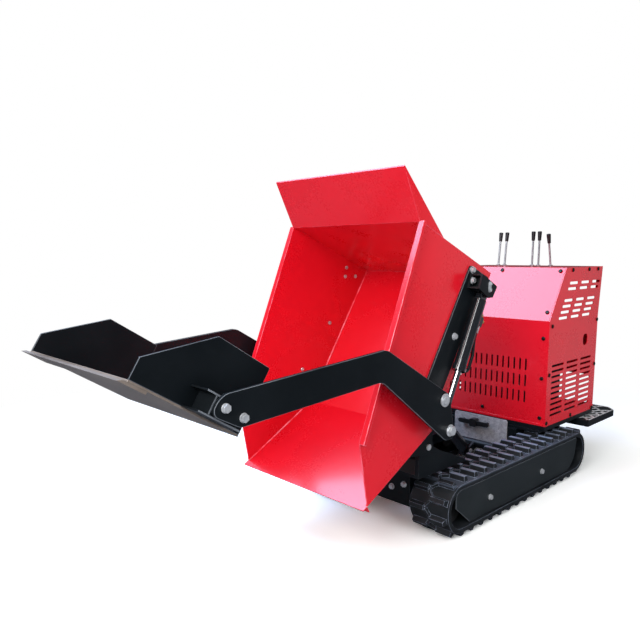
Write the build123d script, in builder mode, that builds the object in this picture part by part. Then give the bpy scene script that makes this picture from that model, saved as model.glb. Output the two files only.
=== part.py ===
from build123d import *
import math
import os

os.makedirs("parts", exist_ok=True)

# Site dumper on rubber tracks with a tipping skip and a self-loading shovel.
# Millimetres. X is to the machine's left, Y to its rear, Z up, floor at Z = 0.
# Sketch heights and reaches are measured from the middle of the tracks.

# Tracks
TRACK_WIDTH = 180.0
TRACK_INNER_X = 198.0
WHEEL_BASE = 972.0
TRACK_RADIUS = 120.0
BELT_THICKNESS = 18.0
LUG_HEIGHT = 22.0
LUG_LENGTH = 27.0
LUG_COUNT = 36
LUG_BITE = 4.0
LUG_MARGIN = 8.0
LUG_INNER = 6.0
LUG_TAPER = 11.0
RIDGE_WIDTH = 9.0
RIDGE_HEIGHT = 14.0
RIDGE_REACH = 16.0

# Running gear inside the tracks
BEAM_INNER_X = 240.0
BEAM_WIDTH = 96.0
BEAM_BOTTOM = 92.0
BEAM_HEIGHT = 60.0
BEAM_HALF = 400.0
FORK_REACH = 70.0
FORK_WIDTH = 36.0
FORK_HEIGHT = 24.0
IDLER_WIDTH = 68.0
IDLER_GROOVE = 14.0
SPROCKET_WIDTH = 60.0
SPROCKET_TEETH = 14
TOOTH_GAP = 8.0
MOTOR_RADIUS = 52.0
ROLLER_RADIUS = 31.0
ROLLER_WIDTH = 52.0
ROLLER_STEP = 220.0
GUARD_X = 362.0
GUARD_SHEET = 6.0
GUARD_TOP = 190.0
GUARD_BOTTOM = 44.0
GUARD_BOLT_FRONT = -277.0
GUARD_BOLT_REAR = 159.0
GUARD_BOLT_Z = 106.0
BOSS_RADIUS = 16.0

# Chassis
RAIL_INNER_X = 150.0
RAIL_WIDTH = 38.0
RAIL_BOTTOM = 140.0
RAIL_TOP = 250.0
RAIL_WAIST = 190.0
WAIST_FRONT = -330.0
RAIL_FRONT = -560.0
RAIL_REAR = 640.0
TIE_PLATE = 12.0
DECK_TIE = 86.0
NOSE_BOTTOM = 94.0
CROSS_TUBE = 30.0
BEARER_INNER_X = 262.0
BEARER_WIDTH = 18.0
HINGE_PIN = 12.0
HINGE_EYE = 32.0
COVER_HALF = 148.0
COVER_Y = 236.0
COVER_BOTTOM = 120.0
COVER_TOP = 286.0
COVER_SHEET = 6.0
HANDLE_X = -24.0
HANDLE_Z = 248.0
HANDLE_HALF = 86.0
HANDLE_STAND = 18.0
TANK_DEPTH = 30.0

# Hood
HOOD_WIDTH = 650.0
HOOD_FRONT = 257.0
HOOD_REAR = 777.0
HOOD_BOTTOM = 284.0
HOOD_FOLD = 778.0
HOOD_TOP = 1019.0
HOOD_TOP_FRONT = 401.0
HOOD_TOP_REAR = 803.0
SHEET = 4.0
SLOT_LENGTH = 57.0
SLOT_WIDTH = 9.5
SLOT_STEP = 29.7
SLOT_RISE = 77.3
SLOT_COLUMNS = 15
SLOT_ROWS = 3
SLOT_MID_X = 9.0
SLOT_MID_Z = 490.0
VENT_LENGTH = 90.0
VENT_HEIGHT = 13.0
VENT_STEP = 123.0
VENT_RISE = 26.8
VENT_MID_Y = 513.0
VENT_Z = 785.0
LOUVRE_LENGTH = 122.0
LOUVRE_HEIGHT = 11.0
LOUVRE_STEP = 150.0
LOUVRE_RISE = 26.1
LOUVRE_ROWS = 10
LOUVRE_MID_Y = 511.0
LOUVRE_MID_Z = 448.5
PORT_Y = 643.0
PORT_Z = 660.0
PORT_WIDTH = 50.0
PORT_HEIGHT = 56.0
PORT_CORNER = 19.0
REAR_STILE = 22.0
REAR_LOW = (310.0, 460.0)
REAR_HIGH = (700.0, 975.0)

# Controls and engine
LEVER_SETBACK = 63.0
LEVER_RADIUS = 5.0
LEVER_LENGTH = 133.0
BOOT_RADIUS = 11.0
BOOT_HEIGHT = 5.0
KNOB_LENGTH = 49.0
KNOB_RADIUS = 8.5
KNOB_TAPER = -3.0
KNOB_ROUND = 4.0
ENGINE_HALF = 190.0
ENGINE_LENGTH = 330.0
ENGINE_HEIGHT = 420.0

# Step
STEP_HALF = 374.0
STEP_FRONT = 622.0
STEP_REAR = 980.0
STEP_TOP = 255.0
STEP_DEPTH = 33.0
STEP_CORNER = 45.0
STEP_WALL = 5.0
STEP_BLOCK = 60.0

# Skip, drawn level and turned by the tip angle about the hinge
SKIP_WIDTH = 650.0
TIP_ANGLE = 67.6
HINGE_Y = -605.0
HINGE_Z = 372.0
KINK_Y = -623.8
KINK_Z = 444.5
SKIP_REAR = 659.0
FLOOR_DROP = 122.0
RIM = 376.0
RIM_FOLD = 18.0
RIM_RETURN = 14.0
LIP_REACH = 311.0
LIP_RISE = 253.0
LIP_FOLD = 22.0
NOSE_REACH = 118.0
FLARE_REACH = 127.0
FLARE_RISE = 148.0
GUSSET_LENGTH = 150.0
PLATE = 4.0
RUNNER_X = 180.0
RUNNER_WIDTH = 40.0
RUNNER_DEPTH = 14.0
EAR_WIDTH = 12.0

# Shovel, drawn flat and pitched up
SHOVEL_PITCH = 32.4
SHOVEL_Y = -1489.4
SHOVEL_Z = 605.1
SHOVEL_HALF = 314.0
SHOVEL_DEPTH = 370.0
SHOVEL_RISE = 204.0
SHOVEL_NOSE = 59.0
SHOVEL_CREST = 193.0
EDGE_REACH = 26.0
EDGE_THICKNESS = 8.0
EDGE_OVERLAP = 60.0
CHEEK = 6.0
SHOVEL_SHEET = 6.0
BRACKET_REACH = 76.0
BRACKET_FRONT = 165.0
BRACKET_DEPTH = 54.0
BRACKET_HEIGHT = 64.0
BRACKET_SHEET = 6.0
BRACKET_LIP = 14.0

# Arms and lift cylinders
ARM_THICKNESS = 12.0
ARM_DEPTH = 101.0
ELBOW_REACH = 332.0
ELBOW_FOOT = 112.0
ELBOW_LEAN = 20.0
ELBOW_ROUND = 60.0
PIVOT_Y = -664.0
PIVOT_Z = 580.0
PIVOT_PIN = 14.0
PIVOT_POST = 20.0
PIVOT_CAP = 24.0
TAIL_Y = -623.0
TAIL_Z = 462.0
TAIL_NUT = 18.0
CLEVIS_U = 567.0
CLEVIS_W = -44.0
CLEVIS_PIN = 9.0
CLEVIS_SHEET = 8.0
LIFT_PLATE = 8.0
PLATE_MARGIN = 38.0
PLATE_HEAD = 68.0
CYLINDER_SETBACK = 29.0
BARREL_RADIUS = 23.0
BARREL_LENGTH = 330.0
BARREL_START = 44.0
GLAND_RADIUS = 25.0
GLAND_LENGTH = 26.0
ROD_RADIUS = 12.0
ROD_INSIDE = 85.0
EYE_RADIUS = 20.0
EYE_WIDTH = 26.0
PORT_BLOCK_START = 98.0
PORT_BLOCK_LENGTH = 38.0
PORT_BLOCK_OUT = 46.0
PORT_BLOCK_WIDTH = 18.0
HOSE_RADIUS = 6.0
HOSE_OUT = 37.0
HOSE_BOW = 60.0
HOSE_BEND = 22.0
NIPPLE_RADIUS = 9.0
NIPPLE_OUT = 33.0

# Tip cylinder
TIP_BASE_Y = 100.0
TIP_BASE_Z = 140.0
TIP_LUG_U = 245.0
TIP_LUG_W = -97.0
TIP_BARREL_RADIUS = 28.0
TIP_BARREL_LENGTH = 395.0
TIP_GLAND_RADIUS = 31.0
TIP_ROD_RADIUS = 14.0
TIP_ROD_INSIDE = 32.0
TIP_PIN = 10.0
TIP_EYE_WIDTH = 34.0
TIP_EAR = 10.0
TIP_EAR_X = 22.0

# Clearances
PIN_GAP = 0.5
RUN_GAP = 5.0
SEAT_GAP = 1.0

tip = math.radians(TIP_ANGLE)
pitch = math.radians(SHOVEL_PITCH)
edge_drop = SHOVEL_SHEET + EDGE_THICKNESS
front_reach = SHOVEL_Y - (SHOVEL_DEPTH + EDGE_REACH) * math.cos(pitch) - edge_drop * math.sin(pitch)
CENTRE_Y = -(front_reach + STEP_REAR) / 2.0


def side(x):
    return Plane(origin=(x, CENTRE_Y, 0), x_dir=(0, 1, 0), z_dir=(1, 0, 0))


def facing(y):
    return Plane(origin=(0, CENTRE_Y + y, 0), x_dir=(1, 0, 0), z_dir=(0, -1, 0))


def level(z):
    return Plane(origin=(0, CENTRE_Y, z), x_dir=(1, 0, 0), z_dir=(0, 0, 1))


def skip_side(x):
    return Plane(
        origin=(x, CENTRE_Y + KINK_Y, KINK_Z),
        x_dir=(0, math.cos(tip), math.sin(tip)),
        z_dir=(1, 0, 0),
    )


def shovel_side(x):
    return Plane(
        origin=(x, CENTRE_Y + SHOVEL_Y, SHOVEL_Z),
        x_dir=(0, math.cos(pitch), -math.sin(pitch)),
        z_dir=(1, 0, 0),
    )


def from_skip(u, w):
    y = KINK_Y + u * math.cos(tip) - w * math.sin(tip)
    z = KINK_Z + u * math.sin(tip) + w * math.cos(tip)
    return y, z


def to_skip(y, z):
    u = (y - KINK_Y) * math.cos(tip) + (z - KINK_Z) * math.sin(tip)
    w = -(y - KINK_Y) * math.sin(tip) + (z - KINK_Z) * math.cos(tip)
    return u, w


def along(y0, z0, y1, z1, x):
    # Plane across a cylinder's axis at its first pin, facing the second.
    span = math.hypot(y1 - y0, z1 - z0)
    return Plane(
        origin=(x, CENTRE_Y + y0, z0),
        x_dir=(1, 0, 0),
        z_dir=(0, (y1 - y0) / span, (z1 - z0) / span),
    )


belt_radius = TRACK_RADIUS - LUG_HEIGHT
inner_radius = belt_radius - BELT_THICKNESS
half_base = WHEEL_BASE / 2.0
track_mid_x = TRACK_INNER_X + TRACK_WIDTH / 2.0
ARM_INNER_X = SHOVEL_HALF + BRACKET_REACH
CYLINDER_X = ARM_INNER_X - CYLINDER_SETBACK
hinge_u, hinge_w = to_skip(HINGE_Y, HINGE_Z)
pivot_u, pivot_w = to_skip(PIVOT_Y, PIVOT_Z)
clevis_y, clevis_z = from_skip(CLEVIS_U, CLEVIS_W)
tip_lug_y, tip_lug_z = from_skip(TIP_LUG_U, TIP_LUG_W)
lift_span = math.hypot(TAIL_Y - clevis_y, TAIL_Z - clevis_z)
tip_span = math.hypot(tip_lug_y - TIP_BASE_Y, tip_lug_z - TIP_BASE_Z)

# Lug seats round the belt: the straight runs and the two ends.
loop_length = 2.0 * WHEEL_BASE + 2.0 * math.pi * belt_radius
lug_step = loop_length / (2 * LUG_COUNT)
bend_sink = LUG_BITE + LUG_LENGTH**2 / (8.0 * belt_radius)


def seat(run):
    end = math.pi * belt_radius
    if run < WHEEL_BASE:
        return (run - half_base, TRACK_RADIUS - belt_radius), (0.0, -1.0), LUG_BITE
    if run < WHEEL_BASE + end:
        turn = (run - WHEEL_BASE) / belt_radius - math.pi / 2.0
        out = (math.cos(turn), math.sin(turn))
        return (half_base + belt_radius * out[0], TRACK_RADIUS + belt_radius * out[1]), out, bend_sink
    if run < 2.0 * WHEEL_BASE + end:
        back = run - WHEEL_BASE - end
        return (half_base - back, TRACK_RADIUS + belt_radius), (0.0, 1.0), LUG_BITE
    turn = (run - 2.0 * WHEEL_BASE - end) / belt_radius + math.pi / 2.0
    out = (math.cos(turn), math.sin(turn))
    return (-half_base + belt_radius * out[0], TRACK_RADIUS + belt_radius * out[1]), out, bend_sink


def seats_from(first):
    planes = []
    for index in range(LUG_COUNT):
        spot, out, sink = seat((first + 2 * index) * lug_step % loop_length)
        planes.append(
            Plane(
                origin=(track_mid_x, CENTRE_Y + spot[0] - sink * out[0], spot[1] - sink * out[1]),
                x_dir=(1, 0, 0),
                z_dir=(0, out[0], out[1]),
            )
        )
    return planes


lug_bar = TRACK_WIDTH / 2.0 - LUG_MARGIN - LUG_INNER
lug_mid = LUG_INNER + lug_bar / 2.0
ridge_angle = math.degrees(math.atan2(lug_step / 2.0, RIDGE_REACH))
ridge_length = math.hypot(lug_step, 2.0 * RIDGE_REACH) - LUG_INNER

# Left track: the belt, tapered lugs in two staggered rows and the zigzag ridge that joins them
with BuildPart() as track_left:
    with BuildSketch(side(TRACK_INNER_X)):
        with Locations((0, TRACK_RADIUS)):
            SlotCenterToCenter(WHEEL_BASE, 2 * belt_radius)
            SlotCenterToCenter(WHEEL_BASE, 2 * inner_radius, mode=Mode.SUBTRACT)
    extrude(amount=TRACK_WIDTH)
    for row, first in ((1, 0.5), (-1, 1.5)):
        with BuildSketch(*seats_from(first)):
            with Locations((row * lug_mid, 0)):
                Rectangle(lug_bar, LUG_LENGTH)
        extrude(amount=LUG_HEIGHT + LUG_BITE, taper=LUG_TAPER)
        with BuildSketch(*seats_from(first + 0.5)):
            Rectangle(ridge_length, RIDGE_WIDTH, rotation=row * ridge_angle)
        extrude(amount=RIDGE_HEIGHT + LUG_BITE)
track_left.part.label = "track_left"
export_step(track_left.part, "parts/track_left.step")

# Right track
with BuildPart() as track_right:
    mirror(track_left.part, about=Plane.YZ)
track_right.part.label = "track_right"
export_step(track_right.part, "parts/track_right.step")

beam_top = BEAM_BOTTOM + BEAM_HEIGHT
fork_x = BEAM_INNER_X + (BEAM_WIDTH - FORK_WIDTH) / 2.0

# Track beams with the idler's fork and the guard bosses, inside the loops
with BuildPart() as track_beams:
    with BuildSketch(side(BEAM_INNER_X)):
        with Locations((0, BEAM_BOTTOM + BEAM_HEIGHT / 2)):
            RectangleRounded(2 * BEAM_HALF, BEAM_HEIGHT, RUN_GAP)
    extrude(amount=BEAM_WIDTH)
    with BuildSketch(side(BEAM_INNER_X + BEAM_WIDTH)):
        with Locations((GUARD_BOLT_FRONT, GUARD_BOLT_Z), (GUARD_BOLT_REAR, GUARD_BOLT_Z)):
            Circle(BOSS_RADIUS)
    extrude(amount=GUARD_X - BEAM_INNER_X - BEAM_WIDTH)
    with BuildSketch(side(fork_x)):
        with Locations((-BEAM_HALF - FORK_REACH / 2 + RUN_GAP, TRACK_RADIUS)):
            Rectangle(FORK_REACH + 2 * RUN_GAP, FORK_HEIGHT)
    extrude(amount=FORK_WIDTH)
    mirror(about=Plane.YZ)
track_beams.part.label = "track_beams"
export_step(track_beams.part, "parts/track_beams.step")

wheel_radius = inner_radius - PIN_GAP
idler_x = BEAM_INNER_X + (BEAM_WIDTH - IDLER_WIDTH) / 2.0
sprocket_x = BEAM_INNER_X + (BEAM_WIDTH - SPROCKET_WIDTH) / 2.0

# Front idler wheels, grooved round the middle and slotted for the fork
with BuildPart() as idlers:
    with BuildSketch(side(idler_x)):
        with Locations((-half_base, TRACK_RADIUS)):
            Circle(wheel_radius)
    extrude(amount=IDLER_WIDTH)
    with BuildSketch(side(idler_x + (IDLER_WIDTH - IDLER_GROOVE) / 2)):
        with Locations((-half_base, TRACK_RADIUS)):
            Circle(wheel_radius + RUN_GAP)
            Circle(wheel_radius - IDLER_GROOVE, mode=Mode.SUBTRACT)
    extrude(amount=IDLER_GROOVE, mode=Mode.SUBTRACT)
    with BuildSketch(side(fork_x - RUN_GAP + SEAT_GAP)):
        with Locations((-BEAM_HALF - FORK_REACH / 2 + RUN_GAP, TRACK_RADIUS)):
            Rectangle(FORK_REACH + 2 * RUN_GAP, FORK_HEIGHT + 2 * RUN_GAP)
    extrude(amount=FORK_WIDTH + 2 * (RUN_GAP - SEAT_GAP), mode=Mode.SUBTRACT)
    mirror(about=Plane.YZ)
idlers.part.label = "idlers"
export_step(idlers.part, "parts/idlers.step")

# Rear sprockets with their teeth
with BuildPart() as sprockets:
    with BuildSketch(side(sprocket_x)):
        with Locations((half_base, TRACK_RADIUS)):
            Circle(wheel_radius)
            with PolarLocations(wheel_radius, SPROCKET_TEETH):
                Circle(TOOTH_GAP, mode=Mode.SUBTRACT)
    extrude(amount=SPROCKET_WIDTH)
    mirror(about=Plane.YZ)
sprockets.part.label = "sprockets"
export_step(sprockets.part, "parts/sprockets.step")

# Drive motors, flanged to the rail and driving the sprocket
rail_outer_x = RAIL_INNER_X + RAIL_WIDTH
with BuildPart() as drive_motors:
    with BuildSketch(side(rail_outer_x)):
        with Locations((half_base, TRACK_RADIUS)):
            Circle(MOTOR_RADIUS)
    extrude(amount=sprocket_x - rail_outer_x)
    mirror(about=Plane.YZ)
drive_motors.part.label = "drive_motors"
export_step(drive_motors.part, "parts/drive_motors.step")

# Bottom rollers under the beams
roller_x = BEAM_INNER_X + (BEAM_WIDTH - ROLLER_WIDTH) / 2.0
roller_z = TRACK_RADIUS - inner_radius + ROLLER_RADIUS + SEAT_GAP
with BuildPart() as rollers:
    with BuildSketch(side(roller_x)):
        with Locations((0, roller_z)):
            with GridLocations(ROLLER_STEP, ROLLER_STEP, 4, 1):
                Circle(ROLLER_RADIUS)
        with Locations((0, BEAM_BOTTOM + BEAM_HEIGHT / 2)):
            Rectangle(2 * BEAM_HALF, BEAM_HEIGHT, mode=Mode.SUBTRACT)
    extrude(amount=ROLLER_WIDTH)
    mirror(about=Plane.YZ)
rollers.part.label = "rollers"
export_step(rollers.part, "parts/rollers.step")

# Guard plates over the open side of each track: nose cut off below, rounded at the rear
guard_nose = -half_base - 32.0
guard_tail = half_base + 30.0
with BuildPart() as side_guards:
    with BuildSketch(side(GUARD_X)) as guard_outline:
        with BuildLine():
            Polyline(
                (guard_nose, GUARD_TOP),
                (guard_nose, GUARD_BOTTOM + 80),
                (guard_nose + 98, GUARD_BOTTOM),
                (guard_tail - 34, GUARD_BOTTOM),
                (guard_tail, GUARD_TOP),
                close=True,
            )
        make_face()
        corners = guard_outline.vertices().group_by(Axis.X)
        fillet(corners[0].sort_by(Axis.Y)[-1], 30)
        fillet(guard_outline.vertices().sort_by(Axis.Y)[:2].sort_by(Axis.X)[-1], 105)
        fillet(guard_outline.vertices().sort_by(Axis.X)[-1], 12)
    extrude(amount=GUARD_SHEET)
    mirror(about=Plane.YZ)
side_guards.part.label = "side_guards"
export_step(side_guards.part, "parts/side_guards.step")

# Chassis frame: rails, cross tubes, tie plates, skip bearers with the hinge ears
bearer_outer_x = BEARER_INNER_X + BEARER_WIDTH
deck_half = HOOD_WIDTH / 2.0 - 25.0
cross_half = BEAM_INNER_X
cross_y = BEAM_HALF * 0.75
cross_z = BEAM_BOTTOM + BEAM_HEIGHT / 2.0
ear_reach = HINGE_EYE
tip_tube_y = TIP_BASE_Y + 50.0
tip_tube_z = TIP_BASE_Z + 25.0
with BuildPart() as chassis_frame:
    with BuildSketch(side(RAIL_INNER_X), side(-rail_outer_x)):
        with BuildLine():
            Polyline(
                (RAIL_FRONT, RAIL_BOTTOM),
                (RAIL_REAR, RAIL_BOTTOM),
                (RAIL_REAR, RAIL_TOP),
                (COVER_Y, RAIL_TOP),
                (COVER_Y, RAIL_WAIST),
                (WAIST_FRONT, RAIL_WAIST),
                (WAIST_FRONT, RAIL_TOP),
                (RAIL_FRONT, RAIL_TOP),
                close=True,
            )
        make_face()
    extrude(amount=RAIL_WIDTH)
    with BuildSketch(facing(RAIL_FRONT)):
        with Locations((0, (NOSE_BOTTOM + RAIL_TOP) / 2)):
            Rectangle(2 * rail_outer_x, RAIL_TOP - NOSE_BOTTOM)
    extrude(amount=TIE_PLATE)
    with BuildSketch(side(-cross_half)):
        with Locations((-cross_y, cross_z), (cross_y, cross_z)):
            Circle(CROSS_TUBE)
    extrude(amount=2 * cross_half)
    with BuildSketch(side(-RAIL_INNER_X)):
        with Locations((tip_tube_y, tip_tube_z)):
            Circle(2 * TIP_PIN)
    extrude(amount=2 * RAIL_INNER_X)
    with BuildSketch(level(RAIL_TOP)):
        with Locations((0, HINGE_Y + 35)):
            Rectangle(2 * bearer_outer_x, 140)
        with Locations((0, HOOD_FRONT + DECK_TIE / 2), (0, STEP_FRONT - DECK_TIE / 2)):
            Rectangle(2 * deck_half, DECK_TIE)
    extrude(amount=TIE_PLATE)
    with BuildSketch(side(BEARER_INNER_X), side(-bearer_outer_x)):
        with BuildLine():
            Polyline(
                (HINGE_Y - 35, RAIL_TOP),
                (WAIST_FRONT, RAIL_TOP),
                (WAIST_FRONT, RAIL_TOP + TIE_PLATE),
                (HINGE_Y + 105, RAIL_TOP + 80),
                (HINGE_Y + ear_reach, HINGE_Z),
                (HINGE_Y - ear_reach, HINGE_Z),
                (HINGE_Y - 35, RAIL_TOP + 40),
                close=True,
            )
        make_face()
        with Locations((HINGE_Y, HINGE_Z)):
            Circle(HINGE_EYE)
            Circle(HINGE_PIN + PIN_GAP, mode=Mode.SUBTRACT)
    extrude(amount=BEARER_WIDTH)
    with BuildSketch(side(TIP_EAR_X), side(-TIP_EAR_X - TIP_EAR)):
        with BuildLine():
            Polyline(
                (TIP_BASE_Y, TIP_BASE_Z - 2 * TIP_PIN),
                (tip_tube_y, tip_tube_z - 2 * TIP_PIN),
                (tip_tube_y, tip_tube_z + 2 * TIP_PIN),
                (TIP_BASE_Y, TIP_BASE_Z + 2 * TIP_PIN),
                close=True,
            )
        make_face()
        with Locations((TIP_BASE_Y, TIP_BASE_Z)):
            Circle(2 * TIP_PIN)
            Circle(TIP_PIN + PIN_GAP, mode=Mode.SUBTRACT)
    extrude(amount=TIP_EAR)
chassis_frame.part.label = "chassis_frame"
export_step(chassis_frame.part, "parts/chassis_frame.step")

# Hinge pins of the skip
ear_x = bearer_outer_x + RUN_GAP
with BuildPart() as hinge_pins:
    with BuildSketch(side(BEARER_INNER_X - RUN_GAP)):
        with Locations((HINGE_Y, HINGE_Z)):
            Circle(HINGE_PIN)
    extrude(amount=ear_x + EAR_WIDTH - BEARER_INNER_X + 2 * RUN_GAP)
    mirror(about=Plane.YZ)
hinge_pins.part.label = "hinge_pins"
export_step(hinge_pins.part, "parts/hinge_pins.step")

# Pin of the tip cylinder's base
with BuildPart() as tip_base_pin:
    with BuildSketch(side(-TIP_EAR_X - TIP_EAR - RUN_GAP)):
        with Locations((TIP_BASE_Y, TIP_BASE_Z)):
            Circle(TIP_PIN)
    extrude(amount=2 * (TIP_EAR_X + TIP_EAR + RUN_GAP))
tip_base_pin.part.label = "tip_base_pin"
export_step(tip_base_pin.part, "parts/tip_base_pin.step")

# Cover plate below the front of the hood
with BuildPart() as cover_plate:
    with BuildSketch(facing(COVER_Y)):
        with Locations((0, (COVER_BOTTOM + COVER_TOP) / 2)):
            RectangleRounded(2 * COVER_HALF, COVER_TOP - COVER_BOTTOM, 2 * RUN_GAP)
    extrude(amount=COVER_SHEET)
cover_plate.part.label = "cover_plate"
export_step(cover_plate.part, "parts/cover_plate.step")

# Handle on the cover plate: a bar on two posts with the latch's hub in the middle
cover_face = COVER_Y - COVER_SHEET
with BuildPart() as cover_handle:
    with BuildSketch(facing(cover_face)):
        with Locations((HANDLE_X - HANDLE_HALF + 20, HANDLE_Z), (HANDLE_X + HANDLE_HALF - 20, HANDLE_Z)):
            Circle(9)
    extrude(amount=HANDLE_STAND)
    with BuildSketch(facing(cover_face - HANDLE_STAND)):
        with Locations((HANDLE_X, HANDLE_Z)):
            SlotOverall(2 * HANDLE_HALF, 22)
    extrude(amount=9)
    with BuildSketch(facing(cover_face)):
        with Locations((HANDLE_X, HANDLE_Z)):
            RectangleRounded(34, 40, 6)
    extrude(amount=HANDLE_STAND + 15)
cover_handle.part.label = "cover_handle"
export_step(cover_handle.part, "parts/cover_handle.step")

# Oil tank behind the cover plate, between the rails
with BuildPart() as oil_tank:
    with BuildSketch(side(-RAIL_INNER_X)):
        with Locations((COVER_Y + TANK_DEPTH / 2, (RAIL_BOTTOM + RAIL_TOP) / 2 + 7)):
            Rectangle(TANK_DEPTH, RAIL_TOP - RAIL_BOTTOM - 18)
    extrude(amount=2 * RAIL_INNER_X)
oil_tank.part.label = "oil_tank"
export_step(oil_tank.part, "parts/oil_tank.step")

# Deck under the hood
with BuildPart() as hood_deck:
    with BuildSketch(level(RAIL_TOP + TIE_PLATE)):
        with Locations((0, (HOOD_FRONT + HOOD_REAR) / 2)):
            Rectangle(HOOD_WIDTH, HOOD_REAR - HOOD_FRONT)
    extrude(amount=HOOD_BOTTOM - RAIL_TOP - TIE_PLATE)
hood_deck.part.label = "hood_deck"
export_step(hood_deck.part, "parts/hood_deck.step")

slope_run = HOOD_TOP_FRONT - HOOD_FRONT
slope_rise = HOOD_TOP - HOOD_FOLD
slope_step = SHEET * math.hypot(slope_run, slope_rise) / slope_rise
inside = HOOD_WIDTH / 2 - SHEET

# Hood side panels: leaning rows of short vents above, the filler port, long louvres below
with BuildPart() as hood_side_left:
    with BuildSketch(side(inside)):
        with BuildLine():
            Polyline(
                (HOOD_FRONT, HOOD_BOTTOM),
                (HOOD_REAR, HOOD_BOTTOM),
                (HOOD_REAR, HOOD_FOLD),
                (HOOD_TOP_REAR, HOOD_TOP),
                (HOOD_TOP_FRONT, HOOD_TOP),
                (HOOD_FRONT, HOOD_FOLD),
                close=True,
            )
        make_face()
        for row in (0, 1, 2, 3, 5, 6):
            rise = row * VENT_RISE
            with Locations((VENT_MID_Y + rise * slope_run / slope_rise, VENT_Z + rise)):
                with GridLocations(VENT_STEP, VENT_STEP, 3, 1):
                    SlotOverall(VENT_LENGTH, VENT_HEIGHT, mode=Mode.SUBTRACT)
        with Locations((LOUVRE_MID_Y, LOUVRE_MID_Z)):
            with GridLocations(LOUVRE_STEP, LOUVRE_RISE, 3, LOUVRE_ROWS):
                SlotOverall(LOUVRE_LENGTH, LOUVRE_HEIGHT, mode=Mode.SUBTRACT)
        with Locations((PORT_Y, PORT_Z)):
            RectangleRounded(PORT_WIDTH, PORT_HEIGHT, PORT_CORNER, mode=Mode.SUBTRACT)
    extrude(amount=SHEET)
hood_side_left.part.label = "hood_side_left"
export_step(hood_side_left.part, "parts/hood_side_left.step")

with BuildPart() as hood_side_right:
    mirror(hood_side_left.part, about=Plane.YZ)
hood_side_right.part.label = "hood_side_right"
export_step(hood_side_right.part, "parts/hood_side_right.step")

# Hood front panel with three rows of upright slots
with BuildPart() as hood_front:
    with BuildSketch(facing(HOOD_FRONT + SHEET)):
        with Locations((0, (HOOD_BOTTOM + HOOD_FOLD) / 2)):
            Rectangle(2 * inside, HOOD_FOLD - HOOD_BOTTOM)
        with Locations((SLOT_MID_X, SLOT_MID_Z)):
            with GridLocations(SLOT_STEP, SLOT_RISE, SLOT_COLUMNS, SLOT_ROWS):
                SlotOverall(SLOT_LENGTH, SLOT_WIDTH, rotation=90, mode=Mode.SUBTRACT)
    extrude(amount=SHEET)
hood_front.part.label = "hood_front"
export_step(hood_front.part, "parts/hood_front.step")

# Sloped panel above the front panel
with BuildPart() as hood_slope:
    with BuildSketch(side(-inside)):
        with BuildLine():
            Polyline(
                (HOOD_FRONT, HOOD_FOLD),
                (HOOD_FRONT + slope_step, HOOD_FOLD),
                (HOOD_TOP_FRONT + slope_step, HOOD_TOP),
                (HOOD_TOP_FRONT, HOOD_TOP),
                close=True,
            )
        make_face()
    extrude(amount=2 * inside)
hood_slope.part.label = "hood_slope"
export_step(hood_slope.part, "parts/hood_slope.step")

# Top panel
top_front = HOOD_TOP_FRONT + slope_step
with BuildPart() as hood_top:
    with BuildSketch(level(HOOD_TOP - SHEET)):
        with Locations((0, (top_front + HOOD_TOP_REAR) / 2)):
            Rectangle(2 * inside, HOOD_TOP_REAR - top_front)
    extrude(amount=SHEET)
hood_top.part.label = "hood_top"
export_step(hood_top.part, "parts/hood_top.step")

# Rear panel, leaning back above the fold, open above and below its middle
rear_reach = max(HOOD_REAR, HOOD_TOP_REAR)
with BuildPart() as hood_rear:
    with BuildSketch(side(-inside)):
        with BuildLine():
            Polyline(
                (HOOD_REAR - SHEET, HOOD_BOTTOM),
                (HOOD_REAR, HOOD_BOTTOM),
                (HOOD_REAR, HOOD_FOLD),
                (HOOD_TOP_REAR - PIN_GAP, HOOD_TOP - SHEET),
                (HOOD_TOP_REAR - SHEET - PIN_GAP, HOOD_TOP - SHEET),
                (HOOD_REAR - SHEET, HOOD_FOLD),
                close=True,
            )
        make_face()
    extrude(amount=2 * inside)
    with BuildSketch(facing(rear_reach)):
        for foot, head in (REAR_LOW, REAR_HIGH):
            with Locations((0, (foot + head) / 2)):
                RectangleRounded(2 * (inside - REAR_STILE), head - foot, PORT_CORNER)
    extrude(amount=rear_reach - HOOD_FRONT, mode=Mode.SUBTRACT)
hood_rear.part.label = "hood_rear"
export_step(hood_rear.part, "parts/hood_rear.step")

# Engine, a plain block on the deck
with BuildPart() as engine:
    with BuildSketch(level(HOOD_BOTTOM)):
        with Locations((0, (HOOD_FRONT + HOOD_REAR) / 2)):
            Rectangle(2 * ENGINE_HALF, ENGINE_LENGTH)
    extrude(amount=ENGINE_HEIGHT)
engine.part.label = "engine"
export_step(engine.part, "parts/engine.step")

# Control levers on the top panel, each with its boot and its own lean
lever_y = HOOD_TOP_REAR - LEVER_SETBACK
lever_row = ((-229.0, 6.0, 0.0), (-191.0, 6.0, 0.0), (-27.0, 1.0, 0.0), (9.0, 0.5, 0.0), (78.0, -13.0, 12.0))


def lever_plane(x, lean, reach):
    turn = math.radians(lean)
    return Plane(
        origin=(x, CENTRE_Y + lever_y + reach * math.sin(turn), HOOD_TOP + reach * math.cos(turn)),
        x_dir=(1, 0, 0),
        z_dir=(0, math.sin(turn), math.cos(turn)),
    )


with BuildPart() as levers:
    with BuildSketch(level(HOOD_TOP)):
        with Locations(*[(x, lever_y) for x, lean, short in lever_row]):
            Circle(BOOT_RADIUS)
    extrude(amount=BOOT_HEIGHT)
    for x, lean, short in lever_row:
        with BuildSketch(lever_plane(x, lean, BOOT_HEIGHT / 2)):
            Circle(LEVER_RADIUS)
        extrude(amount=LEVER_LENGTH - short - BOOT_HEIGHT / 2)
levers.part.label = "levers"
export_step(levers.part, "parts/levers.step")

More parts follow.
